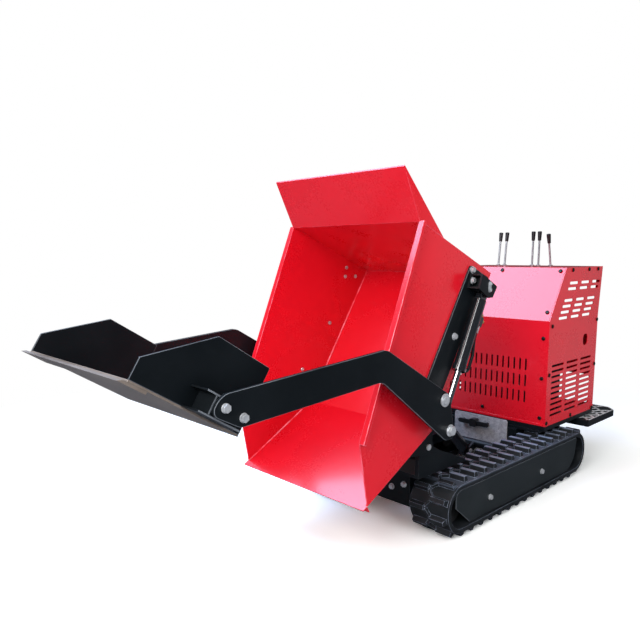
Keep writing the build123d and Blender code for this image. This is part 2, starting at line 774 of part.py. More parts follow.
with BuildPart() as lever_knobs:
    with BuildSketch(*[lever_plane(x, lean, LEVER_LENGTH - short) for x, lean, short in lever_row]):
        Circle(KNOB_RADIUS)
    extrude(amount=KNOB_LENGTH, taper=KNOB_TAPER)
    knob_tops = lever_knobs.edges().filter_by(GeomType.CIRCLE).filter_by(lambda e: e.radius > KNOB_RADIUS + 1)
    fillet(knob_tops, KNOB_ROUND)
lever_knobs.part.label = "lever_knobs"
export_step(lever_knobs.part, "parts/lever_knobs.step")

# Step behind the tracks: a tray open below, notched over the rails
with BuildPart() as step:
    with BuildSketch(level(STEP_TOP - STEP_DEPTH)) as step_outline:
        with Locations((0, (STEP_FRONT + STEP_REAR) / 2)):
            Rectangle(2 * STEP_HALF, STEP_REAR - STEP_FRONT)
        chamfer(step_outline.vertices().group_by(Axis.Y)[-1], STEP_CORNER)
    extrude(amount=STEP_DEPTH)
    with BuildSketch(level(STEP_TOP - STEP_DEPTH)) as step_pocket:
        with Locations((0, (STEP_FRONT + STEP_BLOCK + STEP_REAR - STEP_WALL) / 2)):
            Rectangle(2 * (STEP_HALF - STEP_WALL), STEP_REAR - STEP_WALL - STEP_FRONT - STEP_BLOCK)
        chamfer(step_pocket.vertices().group_by(Axis.Y)[-1], STEP_CORNER - STEP_WALL / 2)
    extrude(amount=STEP_DEPTH - STEP_WALL, mode=Mode.SUBTRACT)
    with BuildSketch(level(STEP_TOP - STEP_DEPTH)):
        for hand in (1, -1):
            with Locations((hand * (RAIL_INNER_X + RAIL_WIDTH / 2), (STEP_FRONT + RAIL_REAR) / 2 - SEAT_GAP)):
                Rectangle(RAIL_WIDTH + 2 * SEAT_GAP, RAIL_REAR - STEP_FRONT + 2 * SEAT_GAP)
    extrude(amount=STEP_DEPTH, mode=Mode.SUBTRACT)
step.part.label = "step"
export_step(step.part, "parts/step.step")

half = SKIP_WIDTH / 2
floor_slope = math.atan2(FLOOR_DROP, SKIP_REAR)
ramp_slope = math.atan2(LIP_RISE, LIP_REACH)
floor_lift = PLATE / math.cos(floor_slope)
ramp_lift = PLATE / math.cos(ramp_slope)
skip_back_u = SKIP_REAR + PLATE

# Skip floor with the loading ramp folded up at the front
with BuildPart() as skip_floor:
    with BuildSketch(skip_side(-half + PLATE)):
        with BuildLine():
            Polyline(
                (-LIP_REACH, LIP_RISE),
                (0, 0),
                (SKIP_REAR, -FLOOR_DROP),
                (SKIP_REAR, -FLOOR_DROP + floor_lift),
                (PIN_GAP, floor_lift + PIN_GAP),
                (-LIP_REACH, LIP_RISE + ramp_lift),
                close=True,
            )
        make_face()
    extrude(amount=SKIP_WIDTH - 2 * PLATE)
skip_floor.part.label = "skip_floor"
export_step(skip_floor.part, "parts/skip_floor.step")

# Skip side walls with the rim folded outwards and turned down
rim_outer = half + RIM_FOLD
with BuildPart() as skip_side_left:
    with BuildSketch(skip_side(half - PLATE)):
        with BuildLine():
            Polyline(
                (-LIP_REACH, LIP_RISE),
                (0, 0),
                (skip_back_u, -FLOOR_DROP - SEAT_GAP),
                (skip_back_u, RIM),
                (-NOSE_REACH, RIM),
                close=True,
            )
        make_face()
    extrude(amount=PLATE)
    with BuildSketch(skip_side(half)):
        with Locations(((skip_back_u - NOSE_REACH) / 2, RIM - PLATE / 2)):
            Rectangle(skip_back_u + NOSE_REACH, PLATE)
    extrude(amount=RIM_FOLD)
    with BuildSketch(skip_side(rim_outer - PLATE)):
        with Locations(((skip_back_u - NOSE_REACH) / 2, RIM - RIM_RETURN / 2)):
            Rectangle(skip_back_u + NOSE_REACH, RIM_RETURN)
    extrude(amount=PLATE)
skip_side_left.part.label = "skip_side_left"
export_step(skip_side_left.part, "parts/skip_side_left.step")

with BuildPart() as skip_side_right:
    mirror(skip_side_left.part, about=Plane.YZ)
skip_side_right.part.label = "skip_side_right"
export_step(skip_side_right.part, "parts/skip_side_right.step")

# Skip rear wall
with BuildPart() as skip_rear:
    with BuildSketch(skip_side(-half + PLATE)):
        with Locations((SKIP_REAR + PLATE / 2, (RIM - FLOOR_DROP - SEAT_GAP) / 2)):
            Rectangle(PLATE, RIM + FLOOR_DROP + SEAT_GAP)
    extrude(amount=SKIP_WIDTH - 2 * PLATE)
skip_rear.part.label = "skip_rear"
export_step(skip_rear.part, "parts/skip_rear.step")

# Flare leaning back above the rear wall, with a gusset at each end
flare_sheet = PLATE + SEAT_GAP
with BuildPart() as skip_flare:
    with BuildSketch(skip_side(-half)):
        with BuildLine():
            Polyline(
                (SKIP_REAR, RIM),
                (SKIP_REAR + flare_sheet, RIM),
                (SKIP_REAR + FLARE_REACH + flare_sheet, RIM + FLARE_RISE),
                (SKIP_REAR + FLARE_REACH, RIM + FLARE_RISE),
                close=True,
            )
        make_face()
    extrude(amount=SKIP_WIDTH)
    with BuildSketch(skip_side(half - PLATE), skip_side(-half)):
        with BuildLine():
            Polyline(
                (skip_back_u, RIM - GUSSET_LENGTH),
                (SKIP_REAR + FLARE_REACH + flare_sheet, RIM + FLARE_RISE),
                (SKIP_REAR + FLARE_REACH, RIM + FLARE_RISE),
                (skip_back_u, RIM),
                close=True,
            )
        make_face()
    extrude(amount=PLATE)
skip_flare.part.label = "skip_flare"
export_step(skip_flare.part, "parts/skip_flare.step")

# Folded channel along the lip of the ramp
ramp_out = (-math.cos(ramp_slope), math.sin(ramp_slope))
ramp_up = (math.sin(ramp_slope), math.cos(ramp_slope))


def on_lip(out, up):
    return (
        -LIP_REACH + out * ramp_out[0] + up * ramp_up[0],
        LIP_RISE + out * ramp_out[1] + up * ramp_up[1],
    )


with BuildPart() as skip_lip:
    with BuildSketch(skip_side(-half)):
        with BuildLine():
            Polyline(
                on_lip(0, -LIP_FOLD),
                on_lip(PLATE, -LIP_FOLD),
                on_lip(PLATE, 0),
                on_lip(LIP_FOLD, 0),
                on_lip(LIP_FOLD, PLATE),
                on_lip(0, PLATE),
                close=True,
            )
        make_face()
    extrude(amount=SKIP_WIDTH)
    with BuildSketch(skip_side(half - PLATE), skip_side(-half)):
        with BuildLine():
            Polyline(
                (-LIP_REACH, LIP_RISE),
                (0, 0),
                (skip_back_u, RIM),
                (-NOSE_REACH, RIM),
                close=True,
            )
        make_face()
    extrude(amount=PLATE, mode=Mode.SUBTRACT)
    with BuildSketch(skip_side(-half)):
        with BuildLine():
            Polyline(
                (-LIP_REACH, LIP_RISE),
                (0, 0),
                (PIN_GAP, floor_lift + PIN_GAP),
                (-LIP_REACH, LIP_RISE + ramp_lift),
                close=True,
            )
        make_face()
    extrude(amount=SKIP_WIDTH, mode=Mode.SUBTRACT)
skip_lip.part.label = "skip_lip"
export_step(skip_lip.part, "parts/skip_lip.step")


def under(u):
    if u < 0:
        return -u * LIP_RISE / LIP_REACH
    return -u * FLOOR_DROP / SKIP_REAR


# Frame under the skip: runners, hinge ears and the lug of the tip cylinder
runner_front = 20.0
runner_rear = SKIP_REAR - 13.0
tip_lug_half = 50.0
with BuildPart() as skip_underframe:
    with BuildSketch(skip_side(RUNNER_X), skip_side(-RUNNER_X - RUNNER_WIDTH)):
        with BuildLine():
            Polyline(
                (runner_front, under(runner_front)),
                (runner_rear, under(runner_rear)),
                (runner_rear, under(runner_rear) - RUNNER_DEPTH),
                (runner_front, under(runner_front) - RUNNER_DEPTH),
                close=True,
            )
        make_face()
    extrude(amount=RUNNER_WIDTH)
    with BuildSketch(skip_side(ear_x), skip_side(-ear_x - EAR_WIDTH)):
        with BuildLine():
            Polyline(
                (-130, under(-130)),
                (0, 0),
                (90, under(90)),
                (hinge_u + 26, hinge_w - 14),
                (hinge_u - 26, hinge_w - 14),
                close=True,
            )
        make_face()
        with Locations((hinge_u, hinge_w)):
            Circle(HINGE_EYE - 2)
            Circle(HINGE_PIN + PIN_GAP, mode=Mode.SUBTRACT)
    extrude(amount=EAR_WIDTH)
    with BuildSketch(skip_side(TIP_EAR_X), skip_side(-TIP_EAR_X - TIP_EAR)):
        with BuildLine():
            Polyline(
                (TIP_LUG_U - tip_lug_half, under(TIP_LUG_U - tip_lug_half)),
                (TIP_LUG_U + tip_lug_half, under(TIP_LUG_U + tip_lug_half)),
                (TIP_LUG_U + 18, TIP_LUG_W - 8),
                (TIP_LUG_U - 18, TIP_LUG_W - 8),
                close=True,
            )
        make_face()
        with Locations((TIP_LUG_U, TIP_LUG_W)):
            Circle(2 * TIP_PIN)
    extrude(amount=TIP_EAR)
skip_underframe.part.label = "skip_underframe"
export_step(skip_underframe.part, "parts/skip_underframe.step")

# Side plates of the lift gear, bolted to the side walls
lift_face = half + LIFT_PLATE
plate_foot = pivot_u - 45.0
plate_head = CLEVIS_U + PLATE_HEAD
with BuildPart() as lift_plates:
    with BuildSketch(skip_side(half)) as plate_outline:
        with BuildLine():
            Polyline(
                (plate_foot, under(plate_foot) + PLATE_MARGIN),
                (plate_foot, pivot_w + 44),
                (plate_head, CLEVIS_W + 78),
                (plate_head, under(plate_head) + PLATE_MARGIN),
                close=True,
            )
        make_face()
        fillet(plate_outline.vertices(), 12)
    extrude(amount=LIFT_PLATE)
    mirror(about=Plane.YZ)
lift_plates.part.label = "lift_plates"
export_step(lift_plates.part, "parts/lift_plates.step")

# Clevises of the lift cylinders: two cheeks, the box that carries the outer one, and the pin
clevis_in = lift_face
clevis_out = CYLINDER_X + EYE_WIDTH / 2 + RUN_GAP
box_reach = clevis_out + CLEVIS_SHEET - clevis_in
box_top = CLEVIS_U + 38.0
box_foot = CLEVIS_U - 19.0
box_front = CLEVIS_W + 68.0
box_web = CLEVIS_W + 30.0
with BuildPart() as lift_clevises:
    with BuildSketch(skip_side(clevis_in)):
        with BuildLine():
            Polyline(
                (box_top, box_front),
                (box_top, box_web),
                (box_foot, box_web),
                (box_foot, box_front),
                (box_foot + 6, box_front),
                (box_foot + 6, box_web + 6),
                (box_top - 6, box_web + 6),
                (box_top - 6, box_front),
                close=True,
            )
        make_face()
    extrude(amount=box_reach)
    with BuildSketch(skip_side(clevis_in), skip_side(clevis_out)) as cheek_outline:
        with BuildLine():
            Polyline(
                (box_top, box_front),
                (CLEVIS_U + 30, CLEVIS_W - 46),
                (CLEVIS_U - 18, CLEVIS_W - 34),
                (CLEVIS_U - 30, CLEVIS_W - 6),
                (box_foot, box_front),
                close=True,
            )
        make_face()
        fillet(cheek_outline.vertices(), 6)
    extrude(amount=CLEVIS_SHEET)
    with BuildSketch(skip_side(clevis_in)):
        with Locations((CLEVIS_U, CLEVIS_W)):
            Circle(CLEVIS_PIN)
    extrude(amount=box_reach)
    mirror(about=Plane.YZ)
lift_clevises.part.label = "lift_clevises"
export_step(lift_clevises.part, "parts/lift_clevises.step")

# Pivot posts of the arms, shouldered, with the cap that keeps the arm on
arm_outer = ARM_INNER_X + ARM_THICKNESS
shoulder = RUN_GAP / 2.5
with BuildPart() as arm_pivots:
    with BuildSketch(skip_side(lift_face)):
        with Locations((pivot_u, pivot_w)):
            Circle(PIVOT_POST)
    extrude(amount=ARM_INNER_X - shoulder - lift_face)
    with BuildSketch(skip_side(ARM_INNER_X - shoulder)):
        with Locations((pivot_u, pivot_w)):
            Circle(PIVOT_PIN)
    extrude(amount=ARM_THICKNESS + 2 * shoulder)
    with BuildSketch(skip_side(arm_outer + shoulder)):
        with Locations((pivot_u, pivot_w)):
            Circle(PIVOT_CAP)
    extrude(amount=RUN_GAP + SEAT_GAP)
    mirror(about=Plane.YZ)
arm_pivots.part.label = "arm_pivots"
export_step(arm_pivots.part, "parts/arm_pivots.step")

# Lift arms: cranked plates, rounded at the shovel's end, the elbow and the tail
elbow_y = PIVOT_Y - ELBOW_REACH
with BuildPart() as shovel_arms:
    with BuildSketch(side(ARM_INNER_X)) as arm_outline:
        with BuildLine():
            Polyline(
                (SHOVEL_Y - 113.6, SHOVEL_Z + 143.9),
                (SHOVEL_Y - 54.6, SHOVEL_Z + 51.9),
                (elbow_y, PIVOT_Z + ELBOW_FOOT),
                (TAIL_Y - 24, TAIL_Z - 34),
                (TAIL_Y + 34, TAIL_Z - 34),
                (PIVOT_Y + 34, PIVOT_Z + 14),
                (elbow_y + ELBOW_LEAN, PIVOT_Z + ELBOW_FOOT + ARM_DEPTH),
                close=True,
            )
        make_face()
        outline = arm_outline.vertices().sort_by(Axis.X)
        fillet(outline[0], 40)
        fillet(arm_outline.vertices().sort_by(Axis.Y)[:2], 24)
        fillet(arm_outline.vertices().sort_by_distance((PIVOT_Y + 34, PIVOT_Z + 14))[0], 24)
        fillet(arm_outline.vertices().sort_by_distance((elbow_y, PIVOT_Z + ELBOW_FOOT))[0], ELBOW_ROUND)
        fillet(arm_outline.vertices().sort_by_distance((elbow_y + ELBOW_LEAN, PIVOT_Z + ELBOW_FOOT + ARM_DEPTH))[0], ELBOW_ROUND)
        with Locations((PIVOT_Y, PIVOT_Z)):
            Circle(PIVOT_PIN + PIN_GAP, mode=Mode.SUBTRACT)
    extrude(amount=ARM_THICKNESS)
    mirror(about=Plane.YZ)
shovel_arms.part.label = "shovel_arms"
export_step(shovel_arms.part, "parts/shovel_arms.step")

# Nuts and washers at the tail of the arms
with BuildPart() as tail_bolts:
    with BuildSketch(side(arm_outer)):
        with Locations((TAIL_Y, TAIL_Z)):
            Circle(TAIL_NUT + 4)
    extrude(amount=3)
    with BuildSketch(side(arm_outer + 3)):
        with Locations((TAIL_Y, TAIL_Z)):
            RegularPolygon(TAIL_NUT, 6)
    extrude(amount=12)
    mirror(about=Plane.YZ)
tail_bolts.part.label = "tail_bolts"
export_step(tail_bolts.part, "parts/tail_bolts.step")

# Brackets between the cheeks and the arms: a lipped channel and the angle below it
web_s = -BRACKET_FRONT + BRACKET_DEPTH
with BuildPart() as arm_brackets:
    with BuildSketch(shovel_side(SHOVEL_HALF)):
        with Locations((-BRACKET_FRONT + BRACKET_DEPTH / 2, BRACKET_SHEET + BRACKET_HEIGHT / 2)):
            Rectangle(BRACKET_DEPTH, BRACKET_HEIGHT)
            Rectangle(BRACKET_DEPTH - 2 * BRACKET_SHEET, BRACKET_HEIGHT - 2 * BRACKET_SHEET, mode=Mode.SUBTRACT)
        with Locations((-BRACKET_FRONT, BRACKET_SHEET + BRACKET_HEIGHT / 2)):
            Rectangle(2 * BRACKET_LIP, BRACKET_HEIGHT - 2 * BRACKET_LIP, mode=Mode.SUBTRACT)
    extrude(amount=BRACKET_REACH)
    with BuildSketch(shovel_side(SHOVEL_HALF)):
        with Locations((-BRACKET_FRONT / 2, BRACKET_SHEET / 2)):
            Rectangle(BRACKET_FRONT, BRACKET_SHEET)
    extrude(amount=BRACKET_REACH)
    with BuildSketch(shovel_side(ARM_INNER_X - BRACKET_SHEET)):
        with Locations((web_s / 2, BRACKET_SHEET + BRACKET_LIP)):
            Rectangle(-web_s, 2 * BRACKET_LIP)
    extrude(amount=BRACKET_SHEET)
    mirror(about=Plane.YZ)
arm_brackets.part.label = "arm_brackets"
export_step(arm_brackets.part, "parts/arm_brackets.step")

# Shovel cheeks
with BuildPart() as shovel_cheeks:
    with BuildSketch(shovel_side(SHOVEL_HALF - CHEEK)) as cheek_shape:
        with BuildLine():
            Polyline(
                (0, 0),
                (-SHOVEL_DEPTH, 0),
                (-SHOVEL_DEPTH, SHOVEL_NOSE),
                (-SHOVEL_CREST, SHOVEL_RISE),
                (RUN_GAP, SHOVEL_RISE),
                close=True,
            )
        make_face()
        fillet(cheek_shape.vertices().group_by(Axis.Y)[-1], RUN_GAP)
    extrude(amount=CHEEK)
    mirror(about=Plane.YZ)
shovel_cheeks.part.label = "shovel_cheeks"
export_step(shovel_cheeks.part, "parts/shovel_cheeks.step")

# Shovel floor
with BuildPart() as shovel_floor:
    with BuildSketch(shovel_side(-SHOVEL_HALF)):
        with Locations((-SHOVEL_DEPTH / 2, -SHOVEL_SHEET / 2)):
            Rectangle(SHOVEL_DEPTH, SHOVEL_SHEET)
    extrude(amount=2 * SHOVEL_HALF)
shovel_floor.part.label = "shovel_floor"
export_step(shovel_floor.part, "parts/shovel_floor.step")

# Cutting edge under the front of the floor, ground to a bevel
with BuildPart() as cutting_edge:
    with BuildSketch(shovel_side(-SHOVEL_HALF)):
        with BuildLine():
            Polyline(
                (-SHOVEL_DEPTH - EDGE_REACH, -edge_drop),
                (-SHOVEL_DEPTH + EDGE_OVERLAP, -edge_drop),
                (-SHOVEL_DEPTH + EDGE_OVERLAP, -SHOVEL_SHEET),
                (-SHOVEL_DEPTH - EDGE_REACH / 2, -SHOVEL_SHEET),
                close=True,
            )
        make_face()
    extrude(amount=2 * SHOVEL_HALF)
cutting_edge.part.label = "cutting_edge"
export_step(cutting_edge.part, "parts/cutting_edge.step")

# Lift cylinder barrels: flat eye, tube, gland, and the ports on the rear side
axis_y = (TAIL_Y - clevis_y) / lift_span
axis_z = (TAIL_Z - clevis_z) / lift_span


def barrel_side(x):
    # Plane in a lift cylinder's side view: first along the axis from the clevis, then to the rear.
    return Plane(
        origin=(x, CENTRE_Y + clevis_y, clevis_z),
        x_dir=(0, axis_y, axis_z),
        z_dir=(1, 0, 0),
    )


def barrel_port(reach, out):
    # Plane facing away from the barrel's rear side.
    return Plane(
        origin=(
            CYLINDER_X,
            CENTRE_Y + clevis_y + reach * axis_y - out * axis_z,
            clevis_z + reach * axis_z + out * axis_y,
        ),
        x_dir=(1, 0, 0),
        z_dir=(0, -axis_z, axis_y),
    )


port_reach = BARREL_LENGTH - GLAND_LENGTH / 2
with BuildPart() as lift_barrel_left:
    with BuildSketch(along(clevis_y, clevis_z, TAIL_Y, TAIL_Z, CYLINDER_X).offset(BARREL_START)):
        Circle(BARREL_RADIUS)
    extrude(amount=BARREL_LENGTH - BARREL_START)
    with BuildSketch(
        along(clevis_y, clevis_z, TAIL_Y, TAIL_Z, CYLINDER_X).offset(BARREL_LENGTH - GLAND_LENGTH)
    ):
        Circle(GLAND_RADIUS)
    extrude(amount=GLAND_LENGTH)
    with BuildSketch(along(clevis_y, clevis_z, TAIL_Y, TAIL_Z, CYLINDER_X)):
        Rectangle(EYE_WIDTH, 2 * EYE_RADIUS - 4)
    extrude(amount=BARREL_START)
    with BuildSketch(side(CYLINDER_X - EYE_WIDTH / 2)):
        with Locations((clevis_y, clevis_z)):
            Circle(EYE_RADIUS)
    extrude(amount=EYE_WIDTH)
    with BuildSketch(barrel_side(CYLINDER_X - PORT_BLOCK_WIDTH / 2)):
        with Locations((PORT_BLOCK_START + PORT_BLOCK_LENGTH / 2, PORT_BLOCK_OUT / 2 + ROD_RADIUS / 2)):
            Rectangle(PORT_BLOCK_LENGTH, PORT_BLOCK_OUT - ROD_RADIUS)
    extrude(amount=PORT_BLOCK_WIDTH)
    with BuildSketch(barrel_port(port_reach, ROD_RADIUS + RUN_GAP)):
        Circle(NIPPLE_RADIUS)
    extrude(amount=NIPPLE_OUT - ROD_RADIUS - RUN_GAP)
    with BuildSketch(side(CYLINDER_X - EYE_WIDTH / 2)):
        with Locations((clevis_y, clevis_z)):
            Circle(CLEVIS_PIN + PIN_GAP)
    extrude(amount=EYE_WIDTH, mode=Mode.SUBTRACT)
    with BuildSketch(along(TAIL_Y, TAIL_Z, clevis_y, clevis_z, CYLINDER_X)):
        Circle(ROD_RADIUS + PIN_GAP)
    extrude(amount=lift_span - BARREL_START - RUN_GAP, mode=Mode.SUBTRACT)
lift_barrel_left.part.label = "lift_barrel_left"
export_step(lift_barrel_left.part, "parts/lift_barrel_left.step")

with BuildPart() as lift_barrel_right:
    mirror(lift_barrel_left.part, about=Plane.YZ)
lift_barrel_right.part.label = "lift_barrel_right"
export_step(lift_barrel_right.part, "parts/lift_barrel_right.step")

# Hoses of the lift cylinders, bowed from the upper port block to the gland's nipple
hose_start = PORT_BLOCK_START + PORT_BLOCK_LENGTH
with BuildPart() as lift_hose_left:
    with BuildLine(barrel_side(CYLINDER_X)) as hose_route:
        FilletPolyline(
            (hose_start, HOSE_OUT),
            (hose_start + 50, HOSE_OUT),
            (port_reach - 70, HOSE_BOW),
            (port_reach, HOSE_BOW),
            (port_reach, NIPPLE_OUT),
            radius=HOSE_BEND,
        )
    with BuildSketch(Plane(origin=hose_route.line @ 0, z_dir=hose_route.line % 0)):
        Circle(HOSE_RADIUS)
    sweep()
lift_hose_left.part.label = "lift_hose_left"
export_step(lift_hose_left.part, "parts/lift_hose_left.step")

with BuildPart() as lift_hose_right:
    mirror(lift_hose_left.part, about=Plane.YZ)
lift_hose_right.part.label = "lift_hose_right"
export_step(lift_hose_right.part, "parts/lift_hose_right.step")

# Lift cylinder rods with the eye at the arm's tail
with BuildPart() as lift_rod_left:
    with BuildSketch(along(TAIL_Y, TAIL_Z, clevis_y, clevis_z, CYLINDER_X)):
        Circle(ROD_RADIUS)
    extrude(amount=lift_span - BARREL_LENGTH + ROD_INSIDE)
    with BuildSketch(side(CYLINDER_X - EYE_WIDTH / 2)):
        with Locations((TAIL_Y, TAIL_Z)):
            Circle(EYE_RADIUS)
    extrude(amount=EYE_WIDTH)
    with BuildSketch(side(CYLINDER_X + EYE_WIDTH / 2)):
        with Locations((TAIL_Y, TAIL_Z)):
            Circle(EYE_RADIUS / 2)
    extrude(amount=ARM_INNER_X - RUN_GAP - CYLINDER_X - EYE_WIDTH / 2)
lift_rod_left.part.label = "lift_rod_left"
export_step(lift_rod_left.part, "parts/lift_rod_left.step")

with BuildPart() as lift_rod_right:
    mirror(lift_rod_left.part, about=Plane.YZ)
lift_rod_right.part.label = "lift_rod_right"
export_step(lift_rod_right.part, "parts/lift_rod_right.step")

# Tip cylinder under the skip
tip_eye = TIP_BARREL_RADIUS + RUN_GAP
with BuildPart() as tip_barrel:
    with BuildSketch(along(TIP_BASE_Y, TIP_BASE_Z, tip_lug_y, tip_lug_z, 0)):
        Circle(TIP_BARREL_RADIUS)
    extrude(amount=TIP_BARREL_LENGTH)
    with BuildSketch(
        along(TIP_BASE_Y, TIP_BASE_Z, tip_lug_y, tip_lug_z, 0).offset(TIP_BARREL_LENGTH - GLAND_LENGTH)
    ):
        Circle(TIP_GLAND_RADIUS)
    extrude(amount=GLAND_LENGTH)
    with BuildSketch(side(-TIP_BARREL_RADIUS)):
        with Locations((TIP_BASE_Y, TIP_BASE_Z)):
            Circle(tip_eye - SEAT_GAP)
    extrude(amount=2 * TIP_BARREL_RADIUS, mode=Mode.SUBTRACT)
    with BuildSketch(side(-TIP_EYE_WIDTH / 2)):
        with Locations((TIP_BASE_Y, TIP_BASE_Z)):
            Circle(tip_eye)
            Circle(TIP_PIN + PIN_GAP, mode=Mode.SUBTRACT)
    extrude(amount=TIP_EYE_WIDTH)
    with BuildSketch(along(tip_lug_y, tip_lug_z, TIP_BASE_Y, TIP_BASE_Z, 0)):
        Circle(TIP_ROD_RADIUS + PIN_GAP)
    extrude(amount=tip_span - 60, mode=Mode.SUBTRACT)
tip_barrel.part.label = "tip_barrel"
export_step(tip_barrel.part, "parts/tip_barrel.step")

with BuildPart() as tip_rod:
    with BuildSketch(along(tip_lug_y, tip_lug_z, TIP_BASE_Y, TIP_BASE_Z, 0)):
        Circle(TIP_ROD_RADIUS)
    extrude(amount=tip_span - TIP_BARREL_LENGTH + TIP_ROD_INSIDE)
    with BuildSketch(side(-TIP_EYE_WIDTH / 2 + 2)):
        with Locations((tip_lug_y, tip_lug_z)):
            Circle(2 * TIP_PIN + 2)
    extrude(amount=TIP_EYE_WIDTH - 4)
tip_rod.part.label = "tip_rod"
export_step(tip_rod.part, "parts/tip_rod.step")
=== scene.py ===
import math

import bpy
from mathutils import Matrix, Vector


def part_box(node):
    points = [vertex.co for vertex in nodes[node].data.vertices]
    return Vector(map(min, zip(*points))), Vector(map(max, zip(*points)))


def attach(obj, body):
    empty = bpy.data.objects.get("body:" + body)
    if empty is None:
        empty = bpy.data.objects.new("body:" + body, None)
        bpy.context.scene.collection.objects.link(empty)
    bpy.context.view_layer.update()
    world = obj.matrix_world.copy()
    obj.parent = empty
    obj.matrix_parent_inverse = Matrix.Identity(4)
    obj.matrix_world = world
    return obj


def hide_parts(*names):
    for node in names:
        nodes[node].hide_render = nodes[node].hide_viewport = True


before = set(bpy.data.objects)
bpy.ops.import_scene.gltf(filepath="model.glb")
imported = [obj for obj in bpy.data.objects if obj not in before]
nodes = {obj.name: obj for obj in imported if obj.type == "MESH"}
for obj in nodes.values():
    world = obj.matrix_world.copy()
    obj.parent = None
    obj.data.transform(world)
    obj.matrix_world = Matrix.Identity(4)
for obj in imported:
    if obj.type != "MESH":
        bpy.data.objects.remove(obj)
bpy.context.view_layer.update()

# The studio: a white paper floor that runs into a white surround, under soft boxes.
# The cool top lamp hangs over the machine's far side, where the sloped hood panel mirrors it.
# The strip lamp shows only in gloss, as a streak along the cylinders' barrels.
WHITE = (1.0, 1.0, 1.0, 1.0)
bpy.context.scene.view_settings.view_transform = "Standard"


class Shade:
    """A value, colour or surface of a finish: arithmetic on it adds Math nodes, make() any other node."""

    def __init__(self, tree, socket):
        self.tree = tree
        self.socket = socket

    def make(self, kind, settings=None, sockets=None, take=0):
        node = self.tree.nodes.new("ShaderNode" + kind)
        for name, value in (settings or {}).items():
            setattr(node, name, value)
        for name, value in (sockets or {}).items():
            if isinstance(value, Shade):
                self.tree.links.new(value.socket, node.inputs[name])
            else:
                node.inputs[name].default_value = value
        return Shade(self.tree, node.outputs[take])

    def sums(self, operation, first, second):
        return self.make("Math", {"operation": operation}, {0: first, 1: second})

    def __add__(self, other):
        return self.sums("ADD", self, other)

    def __mul__(self, other):
        return self.sums("MULTIPLY", self, other)

    __radd__ = __add__
    __rmul__ = __mul__

    def grain(self, scale, detail=3.0, rough=0.55):
        sockets = {"Vector": self, "Scale": scale, "Detail": detail, "Roughness": rough}
        return self.make("TexNoise", None, sockets)

    def between(self, low, high, full=1.0):
        sockets = {"Value": self, "From Min": low, "From Max": high, "To Min": 0.0, "To Max": full}
        return self.make("MapRange", None, sockets)

    def blend(self, first, second):
        ends = [end if isinstance(end, Shade) else (*end, 1.0) for end in (first, second)]
        return self.make("Mix", {"data_type": "RGBA"}, {0: self, 6: ends[0], 7: ends[1]}, take=2)

    def choose(self, first, second):
        return self.make("MixShader", None, {0: self, 1: first, 2: second})

    def relief(self, strength, depth):
        return self.make("Bump", None, {"Height": self, "Strength": strength, "Distance": depth})

    def feed(self, surface, name):
        self.tree.links.new(self.socket, surface.inputs[name])


def new_finish(name):
    finish = bpy.data.materials.new(name)
    finish.use_nodes = True
    tree = finish.node_tree
    where = tree.nodes.new("ShaderNodeTexCoord")
    return finish, Shade(tree, where.outputs["Object"]), tree.nodes["Principled BSDF"]


def start(add, **sizes):
    # A fresh primitive, with nothing else selected.
    bpy.ops.object.select_all(action="DESELECT")
    add(**sizes)
    return bpy.context.object


def pointed(place, way, axis="Z"):
    return Matrix.Translation(place) @ Vector(way).to_track_quat(axis, "Y").to_matrix().to_4x4()


floor = start(bpy.ops.mesh.primitive_circle_add, vertices=96, radius=14.0, fill_type="NGON")
floor.name = "studio_floor"
floor_white, spread, plain_surface = new_finish("floor_white")
reach = spread.make("VectorMath", {"operation": "LENGTH"}, {0: spread}, take="Value")
matt = spread.make("BsdfDiffuse", None, {"Color": (0.55, 0.56, 0.58, 1.0)})
paper = spread.make("BsdfDiffuse", None, {"Color": (1.37, 1.38, 1.36, 1.0)})
dull = spread.make("BsdfDiffuse", None, {"Color": (0.10, 0.105, 0.115, 1.0)})
glow = spread.make("Emission", None, {"Color": WHITE, "Strength": 1.0})
seen = reach.between(1.5, 3.2).choose(paper, glow)
for_camera = spread.make("LightPath", take="Is Camera Ray").choose(matt, seen)
for_gloss = spread.make("LightPath", take="Is Glossy Ray").choose(for_camera, dull)
for_gloss.feed(floor_white.node_tree.nodes["Material Output"], "Surface")
floor_white.node_tree.nodes.remove(plain_surface)
floor.data.materials.append(floor_white)

surround = bpy.data.worlds.new("surround")
surround.use_nodes = True
sky = surround.node_tree
sky.nodes["Background"].inputs["Color"].default_value = WHITE
sky.nodes["Background"].inputs["Strength"].default_value = 0.38
soft_sky = Shade(sky, sky.nodes["Background"].outputs["Background"])
dim_sky = soft_sky.make("Background", None, {"Color": (0.8, 0.9, 1.0, 1.0), "Strength": 0.10})
white_sky = soft_sky.make("Background", None, {"Color": WHITE, "Strength": 1.0})
in_gloss = soft_sky.make("LightPath", take="Is Glossy Ray").choose(soft_sky, dim_sky)
in_view = soft_sky.make("LightPath", take="Is Camera Ray").choose(in_gloss, white_sky)
in_view.feed(sky.nodes["World Output"], "Surface")
bpy.context.scene.world = surround

camera_data = bpy.data.cameras.new("photo_camera")
camera_data.sensor_width = 36.0
camera_data.lens = 35.23
camera_data.shift_x = 0.0125
camera_data.shift_y = 0.0394
camera = bpy.data.objects.new("photo_camera", camera_data)
bpy.context.scene.collection.objects.link(camera)
stand = Matrix.Translation((1.6508, -2.0421, 1.0925))
turn = Matrix.Rotation(math.radians(46.86), 4, "Z")
tilt = Matrix.Rotation(math.radians(90.0 - 8.37), 4, "X")
roll = Matrix.Rotation(math.radians(-0.31), 4, "Z")
camera.matrix_world = stand @ turn @ tilt @ roll
bpy.context.scene.camera = camera


